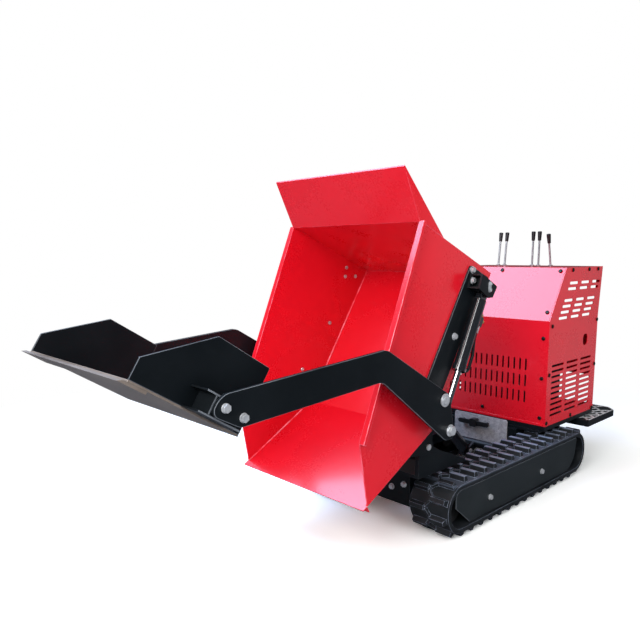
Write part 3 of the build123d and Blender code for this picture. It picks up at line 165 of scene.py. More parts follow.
def soft_box(name, place, target, size, watts, colour, shines=True, lights=True):
    lamp = bpy.data.lights.new(name, "AREA")
    lamp.shape = "RECTANGLE"
    lamp.size, lamp.size_y = size
    lamp.energy = watts
    lamp.color = colour
    holder = bpy.data.objects.new(name, lamp)
    bpy.context.scene.collection.objects.link(holder)
    holder.matrix_world = pointed(place, Vector(target) - Vector(place), "-Z")
    holder.visible_camera = False
    holder.visible_glossy = shines
    holder.visible_diffuse = lights


soft_box(
    "top_lamp",
    place=(-1.9, -1.2, 3.9),
    target=(0.0, 0.6, 0.85),
    size=(3.2, 2.4),
    watts=205,
    colour=(0.52, 0.69, 1.0),
)
soft_box(
    "front_lamp",
    place=(1.3, -4.2, 2.9),
    target=(0.0, 0.2, 0.6),
    size=(2.6, 2.0),
    watts=180,
    colour=(1.0, 1.0, 1.0),
)
soft_box(
    "fill_lamp",
    place=(3.7, -0.9, 2.3),
    target=(0.3, 0.3, 0.5),
    size=(3.2, 2.6),
    watts=80,
    colour=(0.95, 0.97, 1.0),
    shines=False,
)
soft_box(
    "strip_lamp",
    place=(1.15, -3.07, 3.43),
    target=(0.36, -0.07, 0.72),
    size=(0.42, 1.4),
    watts=25,
    colour=(1.0, 1.0, 1.0),
    lights=False,
)
soft_box(
    "side_lamp",
    place=(1.25, 2.1, 0.78),
    target=(0.3, 0.95, 0.65),
    size=(1.3, 1.5),
    watts=1.6,
    colour=(0.95, 0.93, 1.0),
)

# The tracks: two endless moulded belts with staggered tapered lugs and a zigzag ridge, one round each beam.
# New rubber, blue-black. The lugs' crowns, and faintly the belt between the lugs, carry pale blue painted
# light from above and painted sky sheen, and their edges carry a painted highlight.
track_low, track_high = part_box("track_left")
lug_top = track_high.z
rubber_dark = (0.008, 0.010, 0.012)
rubber_grey = (0.017, 0.020, 0.024)
# The pale blue of the painted top light and sheen.
painted_sheen_blue = (0.270, 0.325, 0.450)


def dress(finish, names, edge, edge_highlight_finish=None):
    # The solid keeps its mesh; live modifiers join its triangles and round its edges.
    for name in names:
        solid = nodes[name] if isinstance(name, str) else name
        solid.data.materials.clear()
        solid.data.materials.append(finish)
        joined = solid.modifiers.new("joined", "WELD")
        joined.merge_threshold = 0.00002
        flat = solid.modifiers.new("flat", "DECIMATE")
        flat.decimate_type = "DISSOLVE"
        flat.angle_limit = math.radians(0.6)
        rounded = solid.modifiers.new("rounded", "BEVEL")
        rounded.width = edge
        rounded.segments = 2
        rounded.limit_method = "ANGLE"
        rounded.angle_limit = math.radians(40)
        # The edge finish is a painted highlight along the rounded edges.
        if edge_highlight_finish:
            solid.data.materials.append(edge_highlight_finish)
            rounded.material = 1
        shaded = solid.modifiers.new("shaded", "WEIGHTED_NORMAL")
        shaded.keep_sharp = True


track_rubber, spot, surface = new_finish("track_rubber")
bloom = spot.grain(9.0, detail=4.0).between(0.42, 0.72)
speck = spot.grain(420.0, detail=2.0)
height = spot.make("SeparateXYZ", None, {"Vector": spot}, take="Z")
crown = height.between(lug_top - 0.0035, lug_top - 0.0008)
above_belt = height.between(lug_top - 0.0300, lug_top - 0.0260, full=0.28)
below_lugs = height.between(lug_top - 0.0185, lug_top - 0.0205)
# Painted light: the lug crowns, and faintly the belt between the lugs, are made pale blue as if lit from
# above and mirroring the sky.
painted_top_light = (crown + above_belt * below_lugs) * (bloom * 0.45 + 0.55)
painted_top_light.blend(bloom.blend(rubber_dark, rubber_grey), painted_sheen_blue).feed(surface, "Base Color")
(bloom * 0.14 + speck * 0.12 + 0.42).feed(surface, "Roughness")
(speck * 0.6 + spot.grain(60.0) * 0.4).relief(0.25, depth=0.0012).feed(surface, "Normal")
surface.inputs["Specular IOR Level"].default_value = 0.35
# A pale blue painted highlight on the lugs' rounded edges, where they catch the light.
rubber_edge_highlight, spot, surface = new_finish("rubber_edge_highlight")
blue_highlight_mottle = spot.grain(34.0, detail=4.0).between(0.38, 0.66)
blue_highlight_mottle.blend((0.12, 0.145, 0.20), (0.38, 0.43, 0.55)).feed(surface, "Base Color")
(blue_highlight_mottle * 0.15 + 0.46).feed(surface, "Roughness")
dress(track_rubber, ("track_left", "track_right"), edge=0.0030, edge_highlight_finish=rubber_edge_highlight)

# The running gear inside each belt: a sprocket, an idler and rollers on a box beam, and a drive motor.
# They are castings, left rough under thin black paint and bolted to the beam.
cast_iron, spot, surface = new_finish("cast_iron")
pits = spot.grain(180.0, detail=4.0)
stain = spot.grain(14.0)
stain.blend((0.018, 0.018, 0.02), (0.05, 0.049, 0.05)).feed(surface, "Base Color")
(pits * 0.25 + 0.45).feed(surface, "Roughness")
pits.relief(0.35, depth=0.0015).feed(surface, "Normal")
surface.inputs["Metallic"].default_value = 0.35
dress(cast_iron, ("sprockets", "idlers", "rollers", "drive_motors"), edge=0.0015)

# The frame, the beams, the deck, the oil tank and the guards: pressed and welded steel, powder coated black.
# The satin coat has a fine orange peel and is a little blue in the light. It is paler on the guards,
# and the rounded cut edges carry a grey painted highlight.


def powder_coat(name, low, high):
    finish, spot, surface = new_finish(name)
    peel = spot.grain(900.0, detail=2.0)
    drift = spot.grain(6.0, detail=3.0).between(0.35, 0.7)
    drift.blend(low, high).feed(surface, "Base Color")
    (drift * 0.08 + peel * 0.08 + 0.34).feed(surface, "Roughness")
    (peel * 0.7 + spot.grain(240.0) * 0.3).relief(0.10, depth=0.0006).feed(surface, "Normal")
    surface.inputs["Specular IOR Level"].default_value = 0.32
    return finish


powder_black = powder_coat("powder_black", (0.0030, 0.0048, 0.0064), (0.0052, 0.0076, 0.0098))
guard_black = powder_coat("guard_black", (0.0140, 0.0185, 0.0215), (0.0200, 0.0255, 0.0290))
# A grey painted highlight for the rounded cut edges of the black plates.
grey_edge_highlight = powder_coat("grey_edge_highlight", (0.075, 0.085, 0.100), (0.190, 0.205, 0.225))
dress(powder_black, ("track_beams", "oil_tank", "hood_deck"), edge=0.0022)
dress(powder_black, ("chassis_frame",), edge=0.0018, edge_highlight_finish=grey_edge_highlight)
dress(guard_black, ("side_guards",), edge=0.0014, edge_highlight_finish=grey_edge_highlight)

# Zinc plated fasteners: hexagon bolts on washers, and the hinge pins, bright under a soft cloudy plating.
# Two bolts hold each guard to its beam, and four go through the frame's front tie plate.
zinc_plate, spot, surface = new_finish("zinc_plate")
cloud = spot.grain(90.0, detail=4.0)
cloud.blend((0.46, 0.48, 0.51), (0.74, 0.75, 0.77)).feed(surface, "Base Color")
(cloud * 0.20 + 0.24).feed(surface, "Roughness")
spot.grain(700.0).relief(0.08, depth=0.0004).feed(surface, "Normal")
surface.inputs["Metallic"].default_value = 0.55
middle = (track_low.y + track_high.y) / 2.0
WASHER_THICK = 0.0024


def place_mm(x, y, z):
    # Millimetres on the machine, with y counted from the middle of the tracks.
    return Vector((x / 1000.0, middle + y / 1000.0, z / 1000.0))


def box_mm(node):
    # A solid's lowest and highest corners, counted the same way.
    return [(corner - Vector((0, middle, 0))) * 1000.0 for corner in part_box(node)]


def pick(piece, kind, wanted):
    # Opens edit mode with only the wanted corners or faces selected.
    bpy.ops.object.mode_set(mode="EDIT")
    bpy.ops.mesh.select_mode(type=kind)
    bpy.ops.mesh.select_all(action="DESELECT")
    bpy.ops.object.mode_set(mode="OBJECT")
    items = piece.data.polygons if kind == "FACE" else piece.data.vertices
    for item in items:
        item.select = wanted(item)
    bpy.ops.object.mode_set(mode="EDIT")


def pick_top(piece):
    top = max(face.center.z for face in piece.data.polygons)
    pick(piece, "FACE", lambda face: face.center.z > top - 0.00005)


def round_edges(piece, width, segments=1):
    bpy.context.view_layer.objects.active = piece
    bpy.ops.object.modifier_add(type="BEVEL")
    piece.modifiers[-1].width = width
    piece.modifiers[-1].segments = segments
    piece.modifiers[-1].limit_method = "ANGLE"
    bpy.ops.object.modifier_apply(modifier=piece.modifiers[-1].name)


def join_up(pieces, name):
    # The pieces become one mesh, with its place in its points.
    bpy.ops.object.select_all(action="DESELECT")
    for piece in pieces:
        piece.select_set(True)
    bpy.context.view_layer.objects.active = pieces[0]
    if len(pieces) > 1:
        bpy.ops.object.join()
    bpy.ops.object.transform_apply()
    whole = bpy.context.object
    whole.name = name
    return whole


def hex_bolt(across, head, washer):
    # A washer, a hexagon head with its top corners turned down, and the shallow dish of a forged head.
    ring = start(
        bpy.ops.mesh.primitive_cylinder_add,
        vertices=28,
        radius=washer,
        depth=WASHER_THICK,
        location=(0, 0, WASHER_THICK / 2),
    )
    round_edges(ring, 0.0006)
    bolt = start(
        bpy.ops.mesh.primitive_cylinder_add,
        vertices=6,
        radius=across / math.sqrt(3),
        depth=head,
        location=(0, 0, WASHER_THICK + head / 2),
    )
    pick_top(bolt)
    bpy.ops.mesh.bevel(offset=head * 0.16, segments=2, affect="EDGES")
    bpy.ops.object.mode_set(mode="OBJECT")
    pick_top(bolt)
    bpy.ops.mesh.inset(thickness=across * 0.12)
    bpy.ops.transform.translate(value=(0, 0, -head * 0.08))
    bpy.ops.object.mode_set(mode="OBJECT")
    round_edges(bolt, 0.0005, segments=2)
    whole = join_up([bolt, ring], "hex_bolt")
    bpy.ops.object.shade_smooth_by_angle(angle=math.radians(30))
    return whole


def copy_to(pattern, seat):
    copy = pattern.copy()
    copy.data = pattern.data.copy()
    bpy.context.scene.collection.objects.link(copy)
    copy.matrix_world = seat
    return copy


def fit(piece, finish, body):
    piece.data.materials.append(finish)
    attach(piece, body)


def set_out(pattern, name, spots, finish, body):
    # One piece from copies of a fastener, each seated at its spot and standing along its own way.
    copies = [copy_to(pattern, pointed(point, way)) for point, way in spots]
    fit(join_up(copies, name), finish, body)


guard_bolt = hex_bolt(across=0.019, head=0.008, washer=0.013)
guard_face = box_mm("side_guards")[1].x
tie_plate_face = -572
guard_bolt_height = 106
guard_spots = []
for hand in (1, -1):
    for y in (-277, 159):
        guard_spots.append((place_mm(hand * guard_face, y, guard_bolt_height), (hand, 0, 0)))
    for x, z in ((98, 156), (159, 181)):
        guard_spots.append((place_mm(hand * x, tie_plate_face, z), (0, -1, 0)))
set_out(guard_bolt, "guard_bolts", guard_spots, zinc_plate, "chassis")
dress(zinc_plate, ("hinge_pins", "tip_base_pin"), edge=0.0012)

# The cover over the oil tank: a flat plate left in mottled grey primer.
# A black moulded bar in front of it turns the latch, and the lever grips are of the same plastic.
primer_grey, spot, surface = new_finish("primer_grey")
mottle = spot.grain(55.0, detail=5.0, rough=0.7)
fleck = spot.grain(260.0, detail=2.0)
patch = (mottle * 0.7 + fleck * 0.3).between(0.35, 0.65)
patch.blend((0.20, 0.195, 0.21), (0.50, 0.485, 0.505)).feed(surface, "Base Color")
(fleck * 0.2 + 0.32).feed(surface, "Roughness")
fleck.relief(0.12, depth=0.0006).feed(surface, "Normal")
dress(primer_grey, ("cover_plate",), edge=0.0012)

black_plastic, spot, surface = new_finish("black_plastic")
leather = spot.grain(650.0, detail=2.0)
leather.blend((0.008, 0.008, 0.009), (0.017, 0.017, 0.019)).feed(surface, "Base Color")
(leather * 0.12 + 0.30).feed(surface, "Roughness")
leather.relief(0.12, depth=0.0005).feed(surface, "Normal")
dress(black_plastic, ("cover_handle", "lever_knobs"), edge=0.0018)

# The hood: folded sheet steel, screwed together along its edges and slotted for the engine's air.
# Sprayed gloss red under a clear coat, with a faint orange peel.
gloss_red, spot, surface = new_finish("gloss_red")
mist = spot.grain(3.0, detail=2.0).between(0.3, 0.7)
skin = spot.grain(140.0, detail=2.0)
mist.blend((0.70, 0.0045, 0.014), (0.76, 0.0065, 0.019)).feed(surface, "Base Color")
(skin * 0.02 + mist * 0.03 + 0.25).feed(surface, "Roughness")
skin.relief(0.004, depth=0.0005).feed(surface, "Normal")
surface.inputs["Coat Weight"].default_value = 0.7
surface.inputs["Coat Roughness"].default_value = 0.15
side_panels = ("hood_side_left", "hood_side_right")
cross_panels = ("hood_front", "hood_slope", "hood_top", "hood_rear")
dress(gloss_red, side_panels + cross_panels, edge=0.0011)

# The front panel's lower edge is turned back on itself, which leaves a flat hem across the machine.
# It is the panel's own red sheet, so nothing fixes it.


def soften(offset, segments):
    # Rounds every edge of the piece that was just made.
    bpy.ops.object.mode_set(mode="EDIT")
    bpy.ops.mesh.select_all(action="SELECT")
    bpy.ops.mesh.bevel(offset=offset, segments=segments, affect="EDGES")
    bpy.ops.object.mode_set(mode="OBJECT")


hood_face = box_mm("hood_front")[0].y
deck_top = box_mm("hood_front")[0].z
hem_place = place_mm(0, hood_face - 0.7, deck_top + 7)
hood_hem = start(bpy.ops.mesh.primitive_cube_add, size=1.0, location=hem_place)
hood_hem.name = "hood_hem"
hood_hem.scale = (0.636, 0.0016, 0.0125)
bpy.ops.object.transform_apply()
soften(0.0007, segments=3)
bpy.ops.object.shade_smooth_by_angle(angle=math.radians(35))
fit(hood_hem, gloss_red, "chassis")

# The hood's screws: rounded heads with a socket pressed in, of oiled black steel.
# They hold the side panels all round, the front panel down both edges and the slope at its corners.
screw_black, spot, surface = new_finish("screw_black")
oil = spot.grain(120.0)
oil.blend((0.012, 0.013, 0.012), (0.03, 0.034, 0.03)).feed(surface, "Base Color")
(oil * 0.15 + 0.14).feed(surface, "Roughness")
surface.inputs["Metallic"].default_value = 0.6


def button_screw(radius, height):
    # A rounded head with its socket pressed in.
    screw = start(
        bpy.ops.mesh.primitive_cylinder_add,
        vertices=18,
        radius=radius,
        depth=height,
        location=(0, 0, height / 2),
    )
    soften(height * 0.75, segments=4)
    pick_top(screw)
    bpy.ops.mesh.inset(thickness=radius * 0.12)
    bpy.ops.mesh.extrude_region_move(TRANSFORM_OT_translate={"value": (0, 0, -height * 0.4)})
    bpy.ops.object.mode_set(mode="OBJECT")
    bpy.ops.object.transform_apply()
    bpy.ops.object.shade_smooth_by_angle(angle=math.radians(40))
    return screw


hood_screw = button_screw(radius=0.0088, height=0.0055)
hood_wall = box_mm("hood_side_left")[1].x
lower_screws = ((282, 754), (273, 528), (268, 300), (516, 296), (758, 292), (763, 522), (765, 751))
upper_screws = ((464, 1007), (641, 1007), (744, 1007))
front_edge, front_heights = 299, (323, 511, 698)
front_middle = (-4, 326)
slope_screws = ((300, 0.16), (-300, 0.16), (300, 0.93), (-300, 0.93), (0, 0.93))
slope_foot, slope_run, slope_rise = 778, 144, 241
slope_way = Vector((0, -slope_rise, slope_run)).normalized()
screw_spots = [(place_mm(front_middle[0], hood_face, front_middle[1]), (0, -1, 0))]
for hand in (1, -1):
    for y, z in lower_screws + upper_screws:
        screw_spots.append((place_mm(hand * hood_wall, y, z), (hand, 0, 0)))
    for z in front_heights:
        screw_spots.append((place_mm(hand * front_edge, hood_face, z), (0, -1, 0)))
for x, share in slope_screws:
    on_slope = place_mm(x, hood_face + slope_run * share, slope_foot + slope_rise * share)
    screw_spots.append((on_slope, slope_way))
set_out(hood_screw, "hood_screws", screw_spots, screw_black, "chassis")

# The control levers: satin plated rods on the hood's top, under the black grips.
# They pass through the top panel to the valves below it.
lever_steel, spot, surface = new_finish("lever_steel")
satin = spot.grain(160.0, detail=3.0)
satin.blend((0.30, 0.31, 0.33), (0.46, 0.47, 0.49)).feed(surface, "Base Color")
(satin * 0.15 + 0.26).feed(surface, "Roughness")
surface.inputs["Metallic"].default_value = 0.7
dress(lever_steel, ("levers",), edge=0.0004)

# The engine: one block behind the hood's slots, dark cast iron and black enamel.
# It stands on the deck.
dress(cast_iron, ("engine",), edge=0.004)

# The step: a pressed steel tray behind the tracks, black, with a lattice of raised bars on its upper face.
# Boots have worn the bars bright. A plain raised rim runs along its sides, its cut corners and its rear edge.
worn_tread, spot, surface = new_finish("worn_tread")
rub = spot.grain(70.0, detail=4.0, rough=0.65).between(0.34, 0.54)
rub.blend((0.16, 0.165, 0.18), (0.86, 0.87, 0.90)).feed(surface, "Base Color")
(rub * -0.1 + 0.42).feed(surface, "Roughness")
(rub * 0.3).feed(surface, "Metallic")
spot.grain(500.0).relief(0.15, depth=0.0006).feed(surface, "Normal")
dress(powder_black, ("step",), edge=0.002)


def tread_bar(length, wide, high):
    # One raised bar: a rounded ridge pressed up from the plate.
    bar = start(bpy.ops.mesh.primitive_cube_add, size=1.0, location=(0, 0, high / 2))
    bar.scale = (length, wide, high)
    bpy.ops.object.transform_apply()
    soften(high * 0.8, segments=2)
    return bar


RIM_WIDE = 0.006
RIM_HIGH = 0.0026
RIM_INSET = 4.5
SIDE_BAR_Y = 785
CORNER_BAR_X, CORNER_BAR_Y = 348.5, 954.5
CELL = 66
COLUMNS = 11
ROWS = 5
FIRST_ROW = 670
LATTICE_HALF = 368
CORNER_FROM = 940
web_bar = tread_bar(length=0.0925, wide=0.0125, high=0.0024)
side_bar = tread_bar(length=0.300, wide=RIM_WIDE, high=RIM_HIGH)
corner_bar = tread_bar(length=0.060, wide=RIM_WIDE, high=RIM_HIGH)
rear_bar = tread_bar(length=0.650, wide=RIM_WIDE, high=RIM_HIGH)
step_high = box_mm("step")[1]
bar_spots = [(rear_bar, 0, step_high.y - RIM_INSET, 0)]
for hand in (1, -1):
    bar_spots.append((side_bar, hand * (step_high.x - RIM_INSET), SIDE_BAR_Y, 90))
    bar_spots.append((corner_bar, hand * CORNER_BAR_X, CORNER_BAR_Y, hand * -45))
for column in range(COLUMNS):
    for row in range(ROWS):
        x = CELL * (column - COLUMNS // 2)
        y = FIRST_ROW + CELL * row
        half_width = LATTICE_HALF - max(0, y + CELL / 2 - CORNER_FROM)
        if abs(x) + CELL / 2 <= half_width:
            bar_spots.append((web_bar, x, y, 45))
            bar_spots.append((web_bar, x, y, -45))
bars = []
for bar, x, y, angle in bar_spots:
    seat = Matrix.Translation(place_mm(x, y, step_high.z)) @ Matrix.Rotation(math.radians(angle), 4, "Z")
    bars.append(copy_to(bar, seat))
fit(join_up(bars, "step_tread"), worn_tread, "chassis")

# The skip: folded and welded plate in the same gloss red, with a turned rim, a loading ramp and a tall flare.
# Its rounded edges, and the weld beads inside where the floor and the ramp meet the side walls, carry a pale
# pink painted highlight.
# A pale pink painted highlight for the skip's rounded edges and its weld beads.
red_edge_highlight, spot, surface = new_finish("red_edge_highlight")
pink_highlight_mottle = spot.grain(20.0).between(0.4, 0.62)
pink_highlight_mottle.blend((0.84, 0.035, 0.06), (0.90, 0.20, 0.27)).feed(surface, "Base Color")
(pink_highlight_mottle * -0.06 + 0.22).feed(surface, "Roughness")
skip_walls = ("skip_floor", "skip_side_left", "skip_side_right", "skip_rear", "skip_flare", "skip_lip")
dress(gloss_red, skip_walls, edge=0.0016, edge_highlight_finish=red_edge_highlight)
dress(powder_black, ("skip_underframe",), edge=0.002)
TIP = math.radians(67.6)
KINK_Y = -623.8
KINK_Z = 444.5
RIPPLE = 0.009
RIPPLE_NECK = 0.86
BEAD_X = 320
BEAD_RADIUS = 0.0026


def on_skip(x, u, w):
    # u runs back and w up from the kink between floor and ramp, as the skip lies before it is tipped.
    y = KINK_Y + u * math.cos(TIP) - w * math.sin(TIP)
    z = KINK_Z + u * math.sin(TIP) + w * math.cos(TIP)
    return place_mm(x, y, z)


def drawn_out(vertices, radius, steps):
    # A round bar drawn out along Z, which at each step rises so far and swells by so much.
    bar = start(bpy.ops.mesh.primitive_circle_add, vertices=vertices, radius=radius, fill_type="NGON")
    bpy.ops.object.mode_set(mode="EDIT")
    bpy.ops.mesh.select_mode(type="FACE")
    for rise, swell in steps:
        bpy.ops.mesh.extrude_region_move(TRANSFORM_OT_translate={"value": (0, 0, rise)})
        bpy.ops.transform.resize(value=(swell, swell, 1.0))
    bpy.ops.mesh.select_all(action="SELECT")
    bpy.ops.mesh.normals_make_consistent(inside=False)
    bpy.ops.object.mode_set(mode="OBJECT")
    return bar


def weld_bead(length, radius):
    # A rippled bead along Z, one swell for each pause of the torch.
    ripples = int(length / RIPPLE)
    rise = length / (2 * ripples)
    bead = drawn_out(8, radius, ((rise, 1 / RIPPLE_NECK), (rise, RIPPLE_NECK)) * ripples)
    bpy.ops.object.shade_smooth()
    return bead


floor_from, floor_to, ramp_to = (2, 6), (655, -116), (-308, 255)
beads = []
for hand in (1, -1):
    for stop in (floor_to, ramp_to):
        begin = on_skip(hand * BEAD_X, *floor_from)
        end = on_skip(hand * BEAD_X, *stop)
        bead = weld_bead((end - begin).length, BEAD_RADIUS)
        bead.matrix_world = pointed(begin, end - begin)
        beads.append(bead)
fit(join_up(beads, "weld_seams"), red_edge_highlight, "skip")

# The lift gear on the skip's sides: black plates, the box clevis of each cylinder, and the posts of the arms.
# Zinc plated bolts go through the wall, with coach heads inside, a bolt caps each post,
# and a lock plate with its own small bolt keeps each clevis pin from turning.
dress(powder_black, ("lift_plates", "lift_clevises"), edge=0.0014, edge_highlight_finish=grey_edge_highlight)
dress(zinc_plate, ("arm_pivots", "tail_bolts"), edge=0.0012)
plate_face = box_mm("lift_plates")[1].x
clevis_foot_face = 341
lift_bolt = hex_bolt(across=0.019, head=0.009, washer=0.014)
lift_spots = []
for hand in (1, -1):
    for u, w, face in ((622, 19, plate_face), (582, 12, clevis_foot_face), (357, 26, plate_face)):
        lift_spots.append((on_skip(hand * face, u, w), (hand, 0, 0)))
set_out(lift_bolt, "lift_plate_bolts", lift_spots, zinc_plate, "skip")

inner_wall = box_mm("skip_side_left")[0].x
coach_head = button_screw(radius=0.0085, height=0.0045)
head_spots = []
for hand in (1, -1):
    for u, w in ((622, 19), (582, 12), (357, 26), (606, -50), (119, 108)):
        head_spots.append((on_skip(hand * inner_wall, u, w), (-hand, 0, 0)))
set_out(coach_head, "coach_heads", head_spots, zinc_plate, "skip")

POST_Y, POST_Z = -664, 580
post_face = box_mm("arm_pivots")[1].x
pivot_bolt = hex_bolt(across=0.026, head=0.0042, washer=0.017)
pivot_spots = [(place_mm(hand * post_face, POST_Y, POST_Z), (hand, 0, 0)) for hand in (1, -1)]
set_out(pivot_bolt, "pivot_bolts", pivot_spots, zinc_plate, "skip")


def lock_plate(wide, long, thick):
    # A round-ended plate that keeps the clevis pin from turning: the pin's head below, its bolt above.
    plate = start(
        bpy.ops.mesh.primitive_cylinder_add,
        vertices=24,
        radius=wide / 2,
        depth=thick,
        location=(0, 0, thick / 2),
    )
    bpy.ops.object.transform_apply()
    pick(plate, "VERT", lambda corner: corner.co.y > 0.0001)
    bpy.ops.transform.translate(value=(0, long, 0))
    bpy.ops.object.mode_set(mode="OBJECT")
    round_edges(plate, thick * 0.25)
    bolt = hex_bolt(across=0.010, head=0.0035, washer=0.0072)
    bolt.location = (0, long, thick)
    pin = button_screw(radius=wide * 0.42, height=0.0042)
    pin.location = (0, 0, thick)
    whole = join_up([plate, bolt, pin], "lock_plate")
    bpy.ops.object.shade_smooth_by_angle(angle=math.radians(35))
    return whole


PIN_Y, PIN_Z = -367.05, 951.95
clevis_face = box_mm("lift_clevises")[1].x
clevis_lock = lock_plate(wide=0.019, long=0.023, thick=0.0028)
lock_spots = [(place_mm(hand * clevis_face, PIN_Y, PIN_Z), (hand, 0, 0)) for hand in (1, -1)]
set_out(clevis_lock, "clevis_locks", lock_spots, zinc_plate, "skip")

# The shovel: black cheeks welded to a bare rolled steel floor, with a ground cutting edge along its front.
# The floor has a brushed grain across the machine and a brown tarnish.
dress(powder_black, ("shovel_cheeks",), edge=0.0015, edge_highlight_finish=grey_edge_highlight)
bare_steel, spot, surface = new_finish("bare_steel")
stretched = spot.make("Mapping", None, {"Vector": spot, "Scale": (2.0, 60.0, 60.0)})
brush = stretched.grain(9.0, detail=4.0)
tarnish = spot.grain(7.0, detail=4.0).between(0.35, 0.7)
tarnish.blend((0.235, 0.185, 0.15), (0.335, 0.275, 0.23)).feed(surface, "Base Color")
(brush * 0.22 + tarnish * 0.12 + 0.28).feed(surface, "Roughness")
brush.relief(0.12, depth=0.0006).feed(surface, "Normal")
surface.inputs["Metallic"].default_value = 0.45
dress(bare_steel, ("shovel_floor", "cutting_edge"), edge=0.0012)

# The lift arms: cranked plates cut from thick sheet, powder coated, with every corner rounded.
# Each turns on its post and is bolted to the shovel by two plated bolts at its front end.
ARM_THICK = 12
arm_face = box_mm("shovel_arms")[1].x
arm_corners = (
    (-1603.5, 748.5, 26),
    (-1635, 702, 24),
    (-1546, 654, 10),
    (-996, 692, 18),
    (-647, 428, 16),
    (-589, 428, 30),
    (-630, 594, 16),
    (-976, 793, 18),
)


def cut_plate(outline, x_from, x_to, radii=()):
    # Sheet cut to an outline in side view, with its corners rounded, and pulled out to its width.
    plate = start(bpy.ops.mesh.primitive_circle_add, vertices=len(outline), radius=0.1, fill_type="NGON")
    for corner, point in zip(plate.data.vertices, outline):
        corner.co = Vector((x_from / 1000.0, point.y, point.z))
    for point, radius in zip(outline, radii):
        pick(plate, "VERT", lambda corner: (corner.co.yz - point.yz).length < 0.0005)
        bpy.ops.mesh.bevel(offset=radius / 1000.0, segments=10, affect="VERTICES")
        bpy.ops.object.mode_set(mode="OBJECT")
    pick(plate, "FACE", lambda face: True)
    bpy.ops.mesh.extrude_region_move(TRANSFORM_OT_translate={"value": ((x_to - x_from) / 1000.0, 0, 0)})
    bpy.ops.mesh.select_all(action="SELECT")
    bpy.ops.mesh.normals_make_consistent(inside=False)
    bpy.ops.object.mode_set(mode="OBJECT")
    bpy.ops.object.shade_smooth_by_angle(angle=math.radians(30))
    return plate


def weld_up(plates, name, node, body):
    # The plates become one piece that stands for its node.
    piece = join_up(plates, name)
    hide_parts(node)
    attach(piece, body)
    return piece


arm_outline = [place_mm(0, y, z) for y, z, radius in arm_corners]
arm_radii = [radius for y, z, radius in arm_corners]
arm_plates = []
for hand in (1, -1):
    arm_plates.append(cut_plate(arm_outline, hand * (arm_face - ARM_THICK), hand * arm_face, arm_radii))
lift_arms = weld_up(arm_plates, "lift_arms", "shovel_arms", "shovel")
dress(powder_black, (lift_arms,), edge=0.0013, edge_highlight_finish=grey_edge_highlight)

# The brackets that carry the shovel on its arms: thin folded channels welded to the cheeks, powder coated.
# Their sawn outer ends carry a grey painted highlight beside the arm.
PITCH = math.radians(32.4)
HEEL_Y = -1489.4
HEEL_Z = 605.1
BRACKET_END = 389.6
SEAT_PLATE_FROM = 382
SAWN_FROM = 0.385
SAWN_AREA = 0.001
cheek_face = box_mm("shovel_cheeks")[1].x
channel_sheets = (
    ((-207, 56), (-140, 56), (-140, 61), (-207, 61)),
    ((-177, 5), (-172, 5), (-172, 56), (-177, 56)),
    ((-207, 0), (-60, 0), (-66, 5), (-207, 5)),
)
seat_plate = ((-172, 5), (-66, 5), (-66, 56), (-172, 56))


def on_shovel(x, s, n):
    # s runs back along the shovel's floor from its heel, and n stands square to the floor.
    y = HEEL_Y + s * math.cos(PITCH) + n * math.sin(PITCH)
    z = HEEL_Z - s * math.sin(PITCH) + n * math.cos(PITCH)
    return place_mm(x, y, z)


bracket_plates = []
for hand in (1, -1):
    for corners in channel_sheets:
        outline = [on_shovel(0, s, n) for s, n in corners]
        bracket_plates.append(cut_plate(outline, hand * cheek_face, hand * BRACKET_END))
    outline = [on_shovel(0, s, n) for s, n in seat_plate]
    bracket_plates.append(cut_plate(outline, hand * SEAT_PLATE_FROM, hand * BRACKET_END))
shovel_brackets = weld_up(bracket_plates, "shovel_brackets", "arm_brackets", "shovel")
dress(powder_black, (shovel_brackets,), edge=0.0008)
shovel_brackets.data.materials.append(grey_edge_highlight)
# Only the sawn end faces get the grey painted highlight.
for face in shovel_brackets.data.polygons:
    sawn_end = abs(face.normal.x) > 0.9 and abs(face.center.x) > SAWN_FROM and face.area < SAWN_AREA
    face.material_index = 1 if sawn_end else 0

arm_bolt = hex_bolt(across=0.021, head=0.009, washer=0.0132)
bolt_holes = ((-145, 37), (-80, 37))
arm_spots = []
for hand in (1, -1):
    for s, n in bolt_holes:
        arm_spots.append((on_shovel(hand * arm_face, s, n), (hand, 0, 0)))
set_out(arm_bolt, "arm_bolts", arm_spots, zinc_plate, "shovel")

# The hydraulic cylinders: black enamelled tubes, chromed rods, and a black hose from port to port.
# Each tube hangs on its clevis pin. The hose ends in a crimped sleeve above and a plated nut below,
# and the upper port's unions are brass.
barrel_black, spot, surface = new_finish("barrel_black")
enamel = spot.grain(220.0, detail=2.0)
enamel.blend((0.007, 0.008, 0.010), (0.012, 0.013, 0.016)).feed(surface, "Base Color")
(enamel * 0.05 + 0.12).feed(surface, "Roughness")
enamel.relief(0.015, depth=0.0005).feed(surface, "Normal")
surface.inputs["Coat Weight"].default_value = 1.0
surface.inputs["Coat Roughness"].default_value = 0.05
dress(barrel_black, ("lift_barrel_left", "lift_barrel_right", "tip_barrel"), edge=0.0012)

bright_chrome, spot, surface = new_finish("bright_chrome")
polish = spot.grain(300.0, detail=2.0)
polish.blend((0.48, 0.49, 0.51), (0.60, 0.61, 0.63)).feed(surface, "Base Color")
(polish * 0.06 + 0.10).feed(surface, "Roughness")
surface.inputs["Metallic"].default_value = 1.0
dress(bright_chrome, ("lift_rod_left", "lift_rod_right", "tip_rod"), edge=0.0006)

hose_rubber, spot, surface = new_finish("hose_rubber")
wrap = spot.grain(380.0, detail=2.0)
wrap.blend((0.006, 0.007, 0.008), (0.018, 0.019, 0.021)).feed(surface, "Base Color")
(wrap * 0.15 + 0.34).feed(surface, "Roughness")
wrap.relief(0.3, depth=0.0008).feed(surface, "Normal")
dress(hose_rubber, ("lift_hose_left", "lift_hose_right"), edge=0.0004)

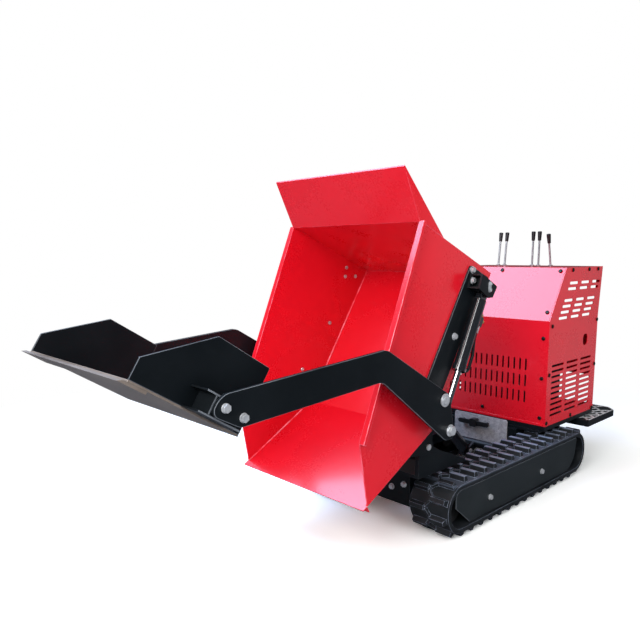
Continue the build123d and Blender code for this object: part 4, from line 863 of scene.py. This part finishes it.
brass, spot, surface = new_finish("brass")
patina = spot.grain(150.0, detail=3.0)
patina.blend((0.50, 0.33, 0.10), (0.72, 0.52, 0.22)).feed(surface, "Base Color")
(patina * 0.2 + 0.24).feed(surface, "Roughness")
surface.inputs["Metallic"].default_value = 0.75
BARREL_X = 361
LEAN_Y, LEAN_Z = 0.463, 0.886
UPPER_UNION, REAR_UNION = (98, 36), (110, 46)
SLEEVE, LOWER_NUT = (136, 37), (317, 25)


def ferrule(radius, length):
    # A steel sleeve squeezed on to the hose's end in three bands.
    band = ((0.18, 1.0), (0.05, 0.9), (0.10, 1.0), (0.05, 1.11))
    last_band = ((0.19, 1.0), (0.05, 0.88))
    steps = [(share * length, swell) for share, swell in band * 2 + last_band]
    sleeve = drawn_out(20, radius, steps)
    bpy.ops.object.shade_smooth_by_angle(angle=math.radians(35))
    return sleeve


def on_barrel(x, along, out):
    # along runs down the barrel from its clevis pin, and out stands square to it, to the rear.
    return place_mm(x, PIN_Y - LEAN_Y * along + LEAN_Z * out, PIN_Z - LEAN_Z * along - LEAN_Y * out)


union_plug = hex_bolt(across=0.0145, head=0.010, washer=0.0085)
hose_sleeve = ferrule(radius=0.0078, length=0.027)
hose_nut = hex_bolt(across=0.021, head=0.006, washer=0.0118)
up_way, down_way, rear_way = (0, LEAN_Y, LEAN_Z), (0, -LEAN_Y, -LEAN_Z), (0, LEAN_Z, -LEAN_Y)
for hand, end, word in ((1, "l", "left"), (-1, "r", "right")):
    x = hand * BARREL_X
    plug_spots = [(on_barrel(x, *UPPER_UNION), up_way), (on_barrel(x, *REAR_UNION), rear_way)]
    set_out(union_plug, "port_unions_" + word, plug_spots, brass, "lift_barrel_" + end)
    sleeve_spots = [(on_barrel(x, *SLEEVE), down_way)]
    set_out(hose_sleeve, "hose_sleeve_" + word, sleeve_spots, zinc_plate, "lift_barrel_" + end)
    nut_spots = [(on_barrel(x, *LOWER_NUT), rear_way)]
    set_out(hose_nut, "hose_nut_" + word, nut_spots, zinc_plate, "lift_barrel_" + end)

# The patterns that the fasteners and the bars were copied from aren't part of the machine.
fastener_patterns = (guard_bolt, hood_screw, lift_bolt, coach_head, pivot_bolt, clevis_lock, arm_bolt)
bar_patterns = (web_bar, side_bar, corner_bar, rear_bar)
hose_patterns = (union_plug, hose_sleeve, hose_nut)
for pattern in fastener_patterns + bar_patterns + hose_patterns:
    bpy.data.objects.remove(pattern)
